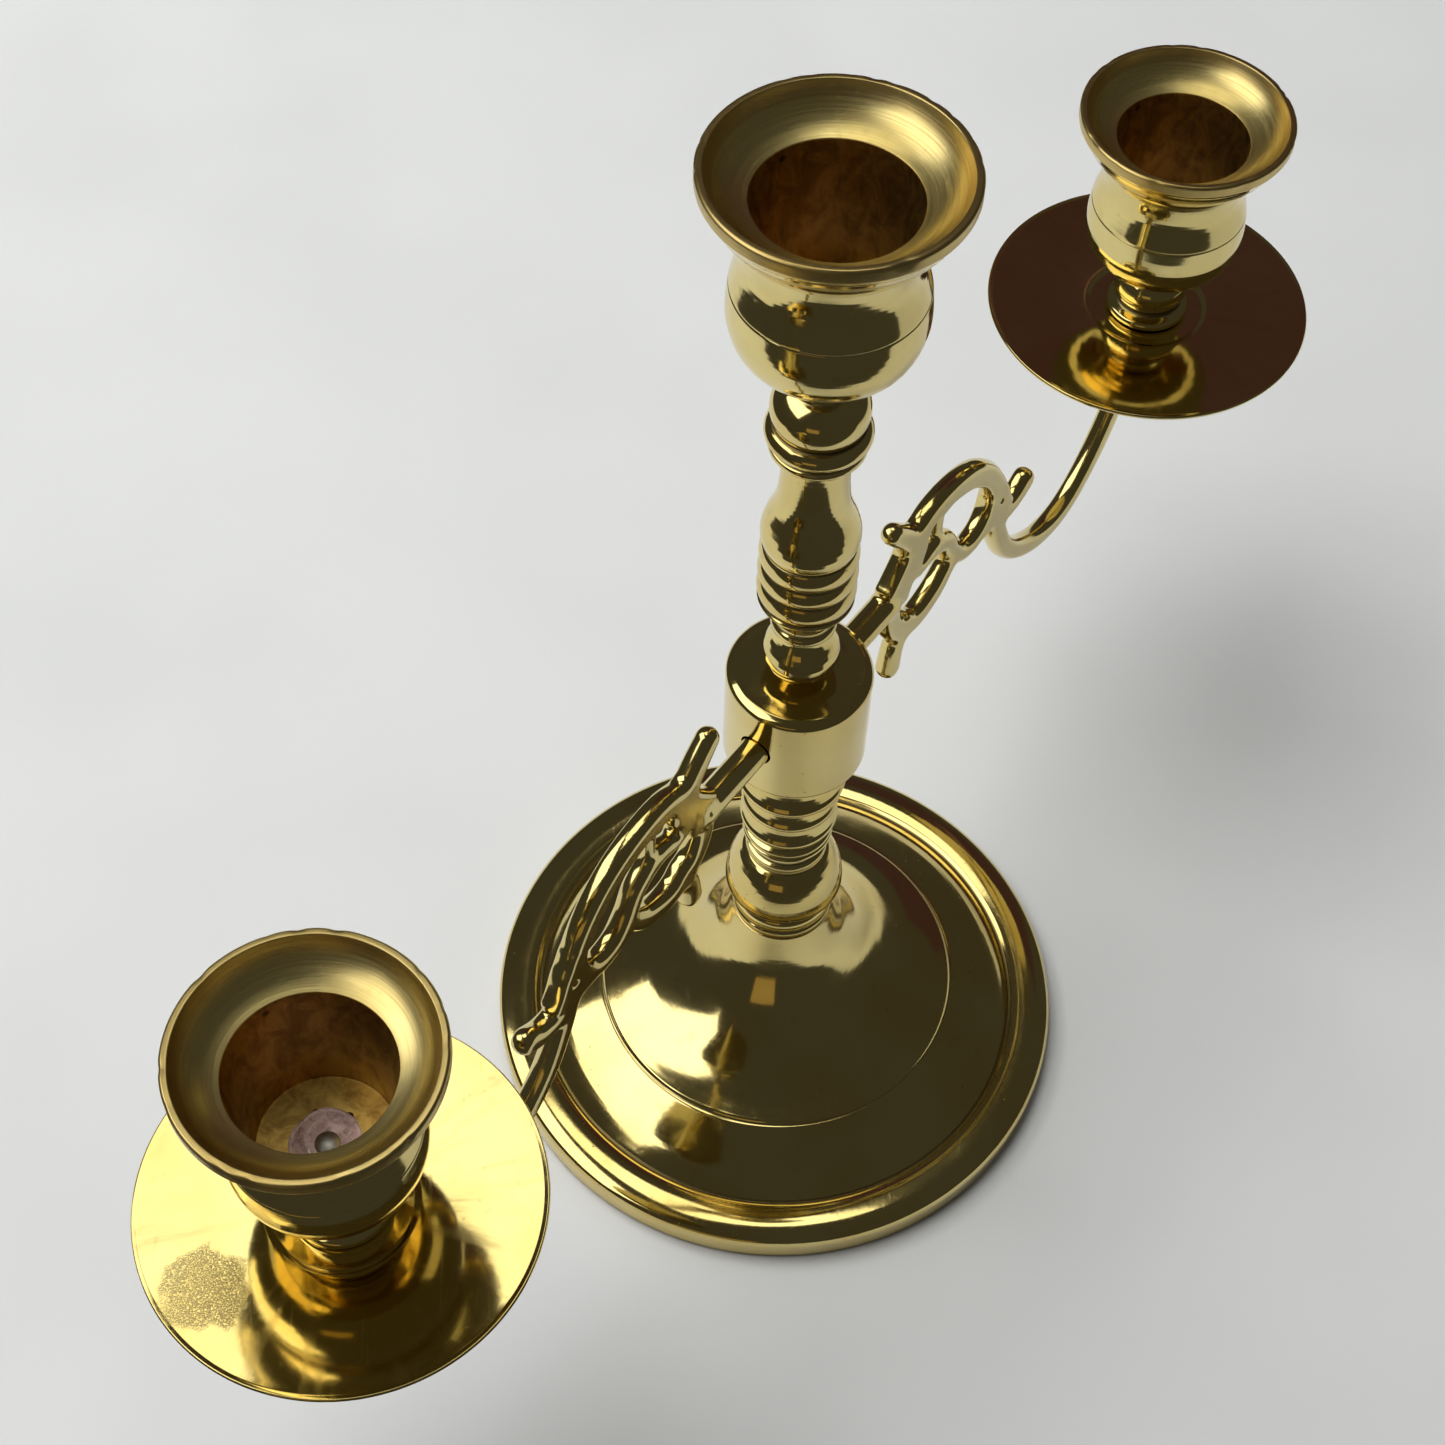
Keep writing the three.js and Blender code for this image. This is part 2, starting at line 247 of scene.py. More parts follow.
def hex_solid(name, flats, low, high, at=(0.0, 0.0), hole=0.0, ease=0.35):
    """A hexagonal bar or nut with turned-down corners at both ends."""
    sides = 96
    angle = np.arange(sides) * 2 * math.pi / sides
    reach = flats / 2 / np.cos((angle % (math.pi / 3)) - math.pi / 6)
    rings = []
    for inset, z in ((ease, low), (0.0, low + ease * 0.8), (0.0, high - ease * 0.8), (ease, high)):
        limit = flats / math.sqrt(3) - inset * 1.6
        rings.append((np.minimum(reach, limit), z))
    if hole > 0:
        rings.append((np.full(sides, hole + 0.15), high))
        rings.append((np.full(sides, hole), high - 0.15))
        rings.append((np.full(sides, hole), low + 0.15))
        rings.append((np.full(sides, hole + 0.15), low))
    points = [
        np.stack([r * np.cos(angle) + at[0], r * np.sin(angle) + at[1], np.full(sides, z)], 1)
        for r, z in rings
    ]
    count = len(rings)
    faces = []
    spans = range(count) if hole > 0 else range(count - 1)
    for i in spans:
        for j in range(sides):
            i2, j2 = (i + 1) % count, (j + 1) % sides
            faces.append((i * sides + j, i * sides + j2, i2 * sides + j2, i2 * sides + j))
    if hole <= 0:
        faces.append(tuple(range(sides - 1, -1, -1)))
        faces.append(tuple((count - 1) * sides + j for j in range(sides)))
    return mesh_piece(name, np.concatenate(points), faces, crease=20)


def threaded(name, radius, low, high, plain_low, plain_high, at=(0.0, 0.0)):
    """A rod with a cut thread at each end and a plain shank between."""
    sides, per_turn = 40, 8
    depth = 0.55 * THREAD_PITCH
    fine = THREAD_PITCH / per_turn
    z = np.concatenate([
        np.arange(low, plain_low, fine),
        np.linspace(plain_low, plain_high, 14)[:-1],
        np.arange(plain_high, high + fine / 2, fine),
    ])
    angle = np.arange(sides) * 2 * math.pi / sides
    phase = (z[:, None] / THREAD_PITCH - angle[None] / (2 * math.pi)) % 1.0
    cut = depth * np.abs(2 * phase - 1)
    cut[(z > plain_low) & (z < plain_high)] = 0.0
    chamfer = np.maximum(0, 0.5 - np.minimum(z - low, high - z))[:, None]
    r = radius - np.maximum(cut, chamfer)
    points = np.stack([
        r * np.cos(angle) + at[0], r * np.sin(angle) + at[1], np.repeat(z[:, None], sides, 1)
    ], -1).reshape(-1, 3)
    count = len(z)
    i, j = np.meshgrid(np.arange(count - 1), np.arange(sides), indexing="ij")
    j2 = (j + 1) % sides
    faces = np.stack([i * sides + j, i * sides + j2, (i + 1) * sides + j2, (i + 1) * sides + j], -1)
    faces = [tuple(f) for f in faces.reshape(-1, 4).tolist()]
    faces.append(tuple(range(sides - 1, -1, -1)))
    faces.append(tuple((count - 1) * sides + j for j in range(sides)))
    return mesh_piece(name, points, faces, crease=50)


def carve(piece, *cutters):
    """Cuts the cutters out of a piece and removes them."""
    for cutter in cutters:
        cut = piece.modifiers.new("cut", "BOOLEAN")
        cut.operation = "DIFFERENCE"
        cut.solver = "EXACT"
        cut.object = cutter
    shaped = piece.evaluated_get(bpy.context.evaluated_depsgraph_get())
    mesh = bpy.data.meshes.new_from_object(shaped)
    piece.modifiers.clear()
    piece.data = mesh
    mesh.name = piece.name
    for cutter in cutters:
        bpy.data.objects.remove(cutter)
    mesh.shade_smooth()
    mesh.set_sharp_from_angle(angle=math.radians(30))
    return piece


# ---------------------------------------------------------------------------------------
# Casting: the scroll arms are poured as one shape, with soft fillets where bars meet
# ---------------------------------------------------------------------------------------


class Casting:
    """A distance field on an even grid. Below zero is metal."""

    def __init__(self, low, high, step):
        self.low, self.step = np.array(low, float), step
        self.shape = tuple(int(n) for n in np.ceil((np.array(high) - low) / step) + 1)
        self.field = np.full(self.shape, FAR, np.float32)

    def axes(self, low, high):
        """The part of the grid between two corners, and its places along X, Y and Z."""
        a = np.maximum(np.floor((np.array(low) - self.low) / self.step).astype(int), 0)
        b = np.minimum(np.ceil((np.array(high) - self.low) / self.step).astype(int) + 1, self.shape)
        where = tuple(slice(p, q) for p, q in zip(a, b))
        x, y, z = (
            self.low[k] + self.step * np.arange(a[k], b[k], dtype=np.float32) for k in range(3)
        )
        return where, x[:, None, None], y[None, :, None], z[None, None, :]

    def merge(self, where, distance, fillet):
        """Adds a shape, with a soft fillet where it meets what is there."""
        old = self.field[where]
        share = np.clip(0.5 + 0.5 * (old - distance) / fillet, 0, 1)
        self.field[where] = old + (distance - old) * share - fillet * share * (1 - share)

    def pour_bar(self, nodes, fillet):
        """A round bar in the XZ plane. Each node is (reach, height, radius)."""
        path = smooth_path(nodes, 0.6)
        margin = path[:, 2].max() + 3.0
        low = (path[:, 0].min() - margin, -margin, path[:, 1].min() - margin)
        high = (path[:, 0].max() + margin, margin, path[:, 1].max() + margin)
        where, x, y, z = self.axes(low, high)
        distance = np.full(np.broadcast_shapes(x.shape, y.shape, z.shape), FAR, np.float32)
        for (ax, az, ar), (bx, bz, br) in zip(path, path[1:]):
            dx, dz = bx - ax, bz - az
            length = max(dx * dx + dz * dz, 1e-9)
            t = np.clip(((x - ax) * dx + (z - az) * dz) / length, 0, 1)
            gap = np.sqrt((x - ax - t * dx) ** 2 + (z - az - t * dz) ** 2 + y**2)
            np.minimum(distance, gap - (ar + (br - ar) * t), out=distance)
        self.merge(where, distance, fillet)

    def pour_web(self, corners, half_thickness, fillet):
        """A thin flat web between bars, drawn as a rounded triangle in the XZ plane."""
        corners = np.array(corners, float)
        low = (corners[:, 0].min() - 4, -4, corners[:, 1].min() - 4)
        high = (corners[:, 0].max() + 4, 4, corners[:, 1].max() + 4)
        where, x, y, z = self.axes(low, high)
        inside, edge = None, None
        for a, b in zip(corners, np.roll(corners, -1, 0)):
            d = b - a
            length = np.hypot(*d)
            left = ((x - a[0]) * d[1] - (z - a[1]) * d[0]) / length
            t = np.clip(((x - a[0]) * d[0] + (z - a[1]) * d[1]) / length**2, 0, 1)
            gap = np.hypot(x - a[0] - t * d[0], z - a[1] - t * d[1])
            inside = left if inside is None else np.maximum(inside, left)
            edge = gap if edge is None else np.minimum(edge, gap)
        plan = np.where(inside < 0, -edge, edge) - 0.5
        rise = np.abs(y) - half_thickness + 0.5
        distance = (
            np.minimum(np.maximum(plan, rise), 0)
            + np.hypot(np.maximum(plan, 0), np.maximum(rise, 0)) - 0.5
        )
        self.merge(where, distance.astype(np.float32), fillet)

    def pour_peg(self, radius, start, end, height, fillet):
        """A round peg along X with a chamfered inner end."""
        where, x, y, z = self.axes(
            (start - 4, -radius - 4, height - radius - 4), (end + 4, radius + 4, height + radius + 4)
        )
        around = np.hypot(y, z - height) - radius
        along = np.maximum(start - x, x - end)
        chamfer = (around + along) * 0.7071 + 0.35
        distance = np.maximum(np.maximum(around, along), chamfer)
        self.merge(where, distance.astype(np.float32), fillet)

    def pour_boss(self, at, rings, fillet):
        """An upright turned boss. Rings are (height, radius) from the bottom to the top."""
        heights = np.array([h for h, _ in rings])
        radii = np.array([r for _, r in rings])
        reach = radii.max() + 4
        where, x, y, z = self.axes(
            (at - reach, -reach, heights[0] - 4), (at + reach, reach, heights[-1] + 4)
        )
        around = np.hypot(x - at, y) - np.interp(z, heights, radii)
        along = np.maximum(heights[0] - z, z - heights[-1])
        self.merge(where, np.maximum(around * 0.92, along).astype(np.float32), fillet)

    def file_flat(self, half_thickness, ease):
        """Files both sides of everything poured so far down to flat faces."""
        _, _, y, _ = self.axes(self.low, self.low + self.step * np.array(self.shape))
        side = np.abs(y) - half_thickness
        share = np.clip(0.5 - 0.5 * (self.field - side) / ease, 0, 1)
        filed = self.field + (side - self.field) * share + ease * share * (1 - share)
        self.field = filed.astype(np.float32)

    def drill(self, at, radius, low, high, y_axis=False):
        """A round hole, upright or across the casting."""
        if y_axis:
            where, x, y, z = self.axes((at[0] - 3, -6, at[1] - 3), (at[0] + 3, 6, at[1] + 3))
            hole = np.hypot(x - at[0], z - at[1]) - radius + y * 0
        else:
            where, x, y, z = self.axes((at - 4, -4, low - 1), (at + 4, 4, high + 1))
            hole = np.maximum(np.hypot(x - at, y) - radius, low - z)
        self.field[where] = np.maximum(self.field[where], -hole)

    def at(self, points):
        """The field between grid points."""
        place = np.clip((points - self.low) / self.step, 0, np.array(self.shape) - 1.001)
        base = place.astype(int)
        t = place - base
        total = np.zeros(len(points))
        for dx in (0, 1):
            for dy in (0, 1):
                for dz in (0, 1):
                    weight = (
                        (t[:, 0] if dx else 1 - t[:, 0])
                        * (t[:, 1] if dy else 1 - t[:, 1])
                        * (t[:, 2] if dz else 1 - t[:, 2])
                    )
                    total += weight * self.field[base[:, 0] + dx, base[:, 1] + dy, base[:, 2] + dz]
        return total

    def slope(self, points):
        """Which way the field rises, and how steeply."""
        h = self.step * 0.7
        shifts = np.eye(3) * h
        return np.stack([self.at(points + s) - self.at(points - s) for s in shifts], 1) / (2 * h)

    def surface(self):
        """Points and four-sided faces of the metal's skin."""
        f = self.field
        metal = f < 0
        cells = tuple(n - 1 for n in self.shape)
        count = np.zeros(cells, np.int8)
        for dx in (0, 1):
            for dy in (0, 1):
                for dz in (0, 1):
                    count += metal[
                        dx : dx + cells[0], dy : dy + cells[1], dz : dz + cells[2]
                    ].astype(np.int8)
        live = (count > 0) & (count < 8)
        number = np.full(cells, -1, np.int64)
        number[live] = np.arange(live.sum())
        ci = np.argwhere(live)
        total = np.zeros((len(ci), 3))
        hits = np.zeros(len(ci))
        for axis in range(3):
            others = [k for k in range(3) if k != axis]
            for da in (0, 1):
                for db in (0, 1):
                    corner = ci.copy()
                    corner[:, others[0]] += da
                    corner[:, others[1]] += db
                    far = corner.copy()
                    far[:, axis] += 1
                    a, b = f[tuple(corner.T)], f[tuple(far.T)]
                    cross = (a < 0) != (b < 0)
                    t = np.where(cross, a / np.where(cross, a - b, 1), 0)
                    spot = corner.astype(float)
                    spot[:, axis] += t
                    total[cross] += spot[cross]
                    hits += cross
        points = total / np.maximum(hits, 1)[:, None] * self.step + self.low
        faces = []
        for axis in range(3):
            u, v = (axis + 1) % 3, (axis + 2) % 3
            near = [slice(None)] * 3
            far = [slice(None)] * 3
            near[axis], far[axis] = slice(0, -1), slice(1, None)
            a, b = metal[tuple(near)], metal[tuple(far)]
            for leaving, flip in ((a & ~b, False), (~a & b, True)):
                e = np.argwhere(leaving)
                e = e[(e[:, u] > 0) & (e[:, v] > 0) & (e[:, u] < cells[u]) & (e[:, v] < cells[v])]
                around = []
                for du, dv in ((0, 0), (-1, 0), (-1, -1), (0, -1)):
                    cell = e.copy()
                    cell[:, u] += du
                    cell[:, v] += dv
                    around.append(number[tuple(cell.T)])
                quad = np.stack(around, 1)
                faces.append(quad[:, ::-1] if flip else quad)
        faces = np.concatenate(faces)
        for _ in range(3):
            points -= self.at(points)[:, None] * self.slope(points) * 0.9
        return points, faces


def relax(points, faces, rounds, share=0.5):
    """Moves each point towards the mean of its neighbours."""
    edges = np.concatenate([faces[:, [0, 1]], faces[:, [1, 2]], faces[:, [2, 3]], faces[:, [3, 0]]])
    edges = np.unique(np.sort(edges, 1), axis=0)
    degree = np.bincount(edges.ravel(), minlength=len(points))[:, None]
    for k in range(rounds * 2):
        total = np.zeros_like(points)
        for axis in range(3):
            total[:, axis] = np.bincount(edges[:, 0], points[edges[:, 1], axis], len(points))
            total[:, axis] += np.bincount(edges[:, 1], points[edges[:, 0], axis], len(points))
        step = share if k % 2 == 0 else -share * 1.04
        points = points + (total / degree - points) * step
    return points


# Each bar of the scroll: (reach, height, radius) from one end to the other.
SCROLL_BARS = {
    "ring": [(30.5, 106, 2.2), (27, 100, 2.25), (25.6, 93, 2.25), (28, 86.5, 2.3), (34, 83.2, 2.3),
             (40, 84.8, 2.2), (44.2, 89, 1.9)],
    "horn": [(24.4, 114, 1.9), (27.5, 110.5, 2.15), (30.5, 106.5, 2.3), (32, 103.5, 2.0)],
    "arch": [(30.5, 107.2, 2.2), (36, 109.2, 2.45), (42.5, 108.8, 2.5), (48.5, 106.3, 2.5),
             (53.5, 101.8, 2.4), (56.8, 96.5, 2.2), (58.5, 91, 2.0)],
    "curl": [(33, 97.3, 1.7), (37.5, 98.4, 2.0), (41.8, 96, 2.0), (44.3, 91.5, 1.9), (47.5, 87.6, 2.0),
             (52, 86.8, 2.05), (55.8, 89.5, 2.0), (58.3, 93, 1.9)],
    "strut": [(39, 98.4, 1.2), (38.6, 103, 1.1), (38.6, 108.6, 1.3)],
    "lower_horn": [(30.5, 85.2, 2.1), (28.8, 80.2, 2.0), (28.2, 75.6, 2.15)],
    "outer_horn": [(57.5, 87.6, 2.0), (62, 84.9, 2.1), (65.8, 85.2, 2.1), (68.6, 86.8, 2.15)],
    "goose_neck": [(58.3, 92, 2.1), (59, 86, 2.15), (61, 80, 2.15), (64.5, 73, 2.15), (70, 67, 2.15),
                   (77, 62.7, 2.15), (84, 61.3, 2.15), (90, 63.2, 2.15), (96, 68.8, 2.15),
                   (100.7, 76, 2.15), (104.2, 83, 2.15), (106.4, 89, 2.2), (107, 93, 2.3)],
}
ARM_REACH = 107.0


def scroll_arm():
    """Points and faces of one arm, its peg along +X from the stem."""
    casting = Casting((0.0, -8.0, 55.0), (115.0, 8.0, 120.0), 0.28)
    for nodes in SCROLL_BARS.values():
        casting.pour_bar(nodes, 1.5)
    casting.pour_web([(57.2, 96.5), (62.0, 88.0), (55.0, 87.0)], 1.9, 1.6)
    casting.pour_web([(29.5, 104.5), (33.0, 107.0), (31.5, 98.5)], 1.9, 1.6)
    casting.pour_web([(24.5, 99.5), (31.5, 105.5), (28.5, 95.0)], 1.9, 1.6)
    casting.file_flat(1.75, 0.35)
    casting.drill((58.6, 91.4), 0.6, 0, 0, y_axis=True)
    casting.pour_peg(PEG_R, 4.3, 26.0, PEG_Z, 1.2)
    boss_top = bottom("right_drip_pan") - GAP
    casting.pour_boss(ARM_REACH, [(86.0, 2.2), (93.0, 4.2), (boss_top, 4.2)], 0.8)
    casting.drill(ARM_REACH, STUD_HOLE, 89.0, boss_top + 2)
    points, faces = casting.surface()
    return relax(points, faces, 6), faces


# ---------------------------------------------------------------------------------------
# Pieces on the middle axis
# ---------------------------------------------------------------------------------------

pieces = {}


def keep(piece, node, slot, *more):
    """Puts a piece in the place of its CAD node."""
    body = frame["nodes"][node]["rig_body"]
    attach(piece, body)
    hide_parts(node, *more)
    pieces[node] = piece
    return piece


dome_top = top("base_foot")
foot_rows = [
    (51.57, 0.0), (51.57, 4.0), (50.8, 5.2, 0.2), (44.7, 5.8, 0.6), (43.85, 5.1),
    *bowed((43.1, 5.8), (41.2, 7.4), (39.4, 8.65), (36.0, 10.55), (32.7, 12.3)),
    (32.15, 12.4, 0.1), (31.75, 12.95),
    *bowed((31.4, 13.05), (28.2, 14.15), (25.0, 15.7), (21.8, 17.85), (18.6, 20.45), (15.4, 23.7),
           (12.15, 28.3), (10.5, 31.6), (8.95, 36.0), (8.6, dome_top)),
    (ROD_HOLE, dome_top), (ROD_HOLE, dome_top - 2.0), (7.2, dome_top - 2.0),
    *bowed((7.3, 34.9), (8.9, 30.9), (10.7, 27.4), (14.1, 22.5), (17.5, 19.2), (24.2, 14.2),
           (31.4, 11.2), (38.6, 7.2), (41.8, 4.4), (43.8, 3.4), spacing=2.0),
    (48.8, 3.8, -0.3), (49.87, 2.8), (49.87, 0.0),
]
keep(turned("foot", foot_rows, sides=288, step=0.8, ease=0.3), "base_foot", "polished_brass")

washer_low, washer_high = bottom("base_washer"), top("base_washer")
keep(
    turned("foot_washer", with_hole([(6.6, washer_low), (6.6, washer_high)], ROD_HOLE), sides=96),
    "base_washer",
    "plain_steel",
)
keep(
    hex_solid("foot_nut", 10.0, bottom("base_nut"), top("base_nut"), hole=ROD_HOLE),
    "base_nut",
    "plain_steel",
)
rod_low, rod_high = bottom("tie_rod"), top("tie_rod")
keep(
    threaded("tie_rod_thread", ROD_R, rod_low, rod_high, rod_low + 12, rod_high - 10),
    "tie_rod",
    "plain_steel",
)

collar_low, collar_high = bottom("stem_collar"), top("stem_collar")
collar_rows = [
    (8.5, collar_low), (8.75, 38.1, 0.08), (8.7, 38.9, 0.08), (8.35, 39.2), (8.4, 39.7),
    (8.8, 40.1, 0.05), (8.8, 41.5, 0.1), (8.45, 42.2, 0.05), (8.2, 42.8), (8.1, collar_high),
]
keep(turned("collar", with_hole(collar_rows, ROD_HOLE), ease=0.15), "stem_collar", "polished_brass")

stem_low, stem_high = bottom("lower_stem"), top("lower_stem")
lower_rows = [
    (8.1, stem_low), (9.9, 45.1, 0.1), (10.15, 45.6, 0.04),
    *bowed((10.15, 46.1), (9.95, 48.2), (9.45, 50.5), (8.6, 52.7), (7.4, 54.5), (6.3, 55.4)),
    (6.85, 55.7, 0.03), (6.95, 56.3, 0.04), (6.85, 56.5), (6.95, 56.7, 0.03), (6.85, 57.4, 0.05),
    (6.2, 57.8), (6.2, 60.0, -0.12), (7.4, 60.6), (7.5, 61.3, 0.15), (7.1, 61.6), (7.5, 61.95),
    (7.45, 62.7, 0.12), (6.6, 63.3), (6.6, 64.8, -0.12), (7.9, 65.3), (8.15, 65.8, 0.05), (8.1, 66.5, 0.05),
    *bowed((7.75, 67.0), (7.3, 68.4), (7.1, 69.9)), (7.85, 70.4), (8.05, 70.8, 0.05), (8.0, 71.5, 0.05),
    *bowed((7.6, 72.1), (7.2, 73.8), (7.05, 75.7)), (8.7, 76.2), (8.95, 76.6, 0.05), (8.9, 77.3, 0.05),
    *bowed((8.5, 77.9), (8.0, 79.6), (7.75, 81.5), (7.7, stem_high)),
]
keep(
    turned("lower_turning", with_hole(lower_rows, ROD_HOLE), step=0.35, ease=0.12),
    "lower_stem",
    "polished_brass",
)

hub_low, hub_high = bottom("arm_hub"), top("arm_hub")
hub_rows = [
    (10.2, hub_low), (HUB_R, 86.2), (HUB_R, 103.8), (10.9, 105.1, 0.25), (10.2, hub_high - 0.1),
    (7.4, hub_high, -0.05),
]
hub = turned("hub", with_hole(hub_rows, ROD_HOLE), sides=192, ease=0.3)


def cross_bore(toward):
    bore_rows = [(0.0, 4.0), (PEG_R + GAP, 4.0), (PEG_R + GAP, 11.25), (PEG_R + GAP + 0.6, 13.5), (0.0, 13.5)]
    bore = turned("bore", bore_rows, sides=64, step=2.0, ease=0.01)
    bore.data.transform(
        Matrix.Translation((0, 0, PEG_Z * MM)) @ Matrix.Rotation(math.pi / 2 * toward, 4, "Y")
    )
    bore.data.update()
    return bore


keep(carve(hub, cross_bore(1), cross_bore(-1)), "arm_hub", "polished_brass")

upper_low, upper_high = bottom("upper_stem"), top("upper_stem")
upper_rows = [
    (3.4, upper_low),
    *bowed((4.0, 106.5), (5.3, 108.0), (5.95, 110.2), (5.6, 112.4), (4.75, 114.2), (4.35, 115.3)),
    (4.3, 116.5, -0.05), (4.9, 116.9), (5.05, 117.5, 0.08), (4.9, 118.1, 0.05), (4.5, 118.5),
    *bowed((4.5, 119.2), (4.9, 120.6), (5.9, 122.0), (6.9, 123.1), (7.35, 124.0)), (6.95, 124.4),
    (6.95, 128.0, 0.5), (6.85, 128.2), (6.95, 128.4), (6.95, 131.8, 0.5), (6.85, 132.0), (6.95, 132.2),
    (6.95, 135.8, 0.45), (6.7, 136.0),
    *bowed((6.95, 136.3), (7.35, 138.0), (7.2, 139.9), (6.6, 142.0), (5.85, 144.1), (5.3, 146.4),
           (5.02, 149.5), (4.95, 153.0), (5.1, upper_high)),
]
keep(
    turned("vase_turning", with_hole(upper_rows, ROD_HOLE), step=0.35, ease=0.12),
    "upper_stem",
    "polished_brass",
)

knop_low, knop_high = bottom("ball_knop"), top("ball_knop")
knop_rows = [
    (6.3, knop_low), (6.85, 156.6, 0.08), (6.9, 157.6, 0.12), (6.5, 157.9), (6.8, 158.3),
    (6.95, 161.2, 0.75), (6.35, 161.5), (4.3, 168.6, 1.55), (3.9, 170.6, -0.1), (5.1, 171.7),
    (5.25, 173.2, 0.15), (4.6, knop_high),
]
keep(
    turned("knop", with_hole(knop_rows, ROD_HOLE), step=0.35, ease=0.12),
    "ball_knop",
    "polished_brass",
)

# ---------------------------------------------------------------------------------------
# Candle cups and what fills their floors
# ---------------------------------------------------------------------------------------


def cup_rows(seat, rim, hole):
    floor = rim - CUP_FLOOR_DROP
    return [
        (hole, seat),
        *bowed((6.4, seat), (9.2, seat + 0.7), (11.3, seat + 2.3), (12.6, seat + 4.4),
               (13.3, seat + 7.0), (13.4, seat + 9.4), (13.12, seat + 12.45)),
        (12.98, seat + 12.6), (13.08, seat + 12.75),
        *bowed((12.98, seat + 13.2), (12.5, seat + 15.2), (12.08, seat + 17.2), (12.0, seat + 18.8),
               (12.15, seat + 20.6), (12.45, seat + 22.1)),
        (12.5, seat + 22.3), (16.9, seat + 28.3, 0.4), (CUP_RIM_R, seat + 29.5, 0.05),
        (CUP_RIM_R, rim - 0.3), (CUP_RIM_R - 0.3, rim), (16.6, rim),
        (CUP_MOUTH_R, rim - CUP_MOUTH_DROP, -0.9), (CUP_FLOOR_R, floor), (hole, floor),
    ]


def nicked(piece, at, rim, seed, count):
    """Small knocks along a cup's lip."""
    rng = np.random.default_rng(seed)
    mesh = piece.data
    points = np.zeros(len(mesh.vertices) * 3, np.float32)
    mesh.vertices.foreach_get("co", points)
    points = points.reshape(-1, 3).astype(float)
    for _ in range(count):
        angle = rng.uniform(0, 2 * math.pi)
        spot = np.array([
            at[0] + CUP_RIM_R * math.cos(angle), at[1] + CUP_RIM_R * math.sin(angle),
            rim - rng.uniform(0, 0.5),
        ]) * MM
        width = rng.uniform(0.35, 0.9) * MM
        depth = rng.uniform(0.06, 0.2) * MM
        away = points - spot
        near = np.exp(-((np.linalg.norm(away, axis=1) / width) ** 2))
        inward = np.array([-math.cos(angle), -math.sin(angle), -0.7])
        points += near[:, None] * inward * depth
    mesh.vertices.foreach_set("co", points.astype(np.float32).ravel())
    mesh.update()


def wax_left(name, at, floor, seed):
    """Old wax in the hexagonal pocket and up over a cup's floor."""
    rng = np.random.default_rng(seed)
    sides, rings = 72, 14
    angle = np.arange(sides) * 2 * math.pi / sides
    waves = [(k, rng.uniform(0, 2 * math.pi), rng.uniform(0.2, 1.0) / k) for k in range(1, 7)]
    edge = 4.9 + 0.55 * sum(a * np.cos(k * angle + p) for k, p, a in waves)
    rows = []
    for i in range(rings + 1):
        share = i / rings
        r = edge * share
        lumps = 0.16 * sum(
            a * np.sin(k * angle + p * 2 + 5 * share * k) for k, p, a in waves
        ) * math.sin(math.pi * min(1.0, share * 1.1))
        z = floor - 0.85 + 1.15 * share**2.2 + lumps
        if i == rings:
            z = np.full(sides, floor + 0.02)
        rows.append(np.stack([r * np.cos(angle) + at[0], r * np.sin(angle) + at[1], z + 0 * angle], 1))
    under = np.stack([
        np.cos(angle) * np.minimum(edge, 4.0) + at[0],
        np.sin(angle) * np.minimum(edge, 4.0) + at[1],
        np.full(sides, floor - 1.4),
    ], 1)
    points = np.concatenate(rows + [under])
    faces = []
    for i in range(rings + 1):
        for j in range(sides):
            j2 = (j + 1) % sides
            faces.append(((i + 1) * sides + j, (i + 1) * sides + j2, i * sides + j2, i * sides + j))
    faces = [tuple(reversed(f)) for f in faces]
    faces.append(tuple((rings + 1) * sides + j for j in range(sides - 1, -1, -1)))
    return mesh_piece(name, points, faces, crease=60)


# ---------------------------------------------------------------------------------------
# Finishes
# ---------------------------------------------------------------------------------------


class Value:
    """A socket that Python operators work on."""

    def __init__(self, finish, socket):
        self.finish, self.socket = finish, socket

    def _with(self, operation, other, flip=False):
        pair = (other, self) if flip else (self, other)
        return self.finish.node(
            "ShaderNodeMath", {"operation": operation}, {0: pair[0], 1: pair[1]}
        )

    def __add__(self, other):
        return self._with("ADD", other)

    def __radd__(self, other):
        return self._with("ADD", other, flip=True)

    def __sub__(self, other):
        return self._with("SUBTRACT", other)

    def __rsub__(self, other):
        return self._with("SUBTRACT", other, flip=True)

    def __mul__(self, other):
        return self._with("MULTIPLY", other)

    def __rmul__(self, other):
        return self._with("MULTIPLY", other, flip=True)


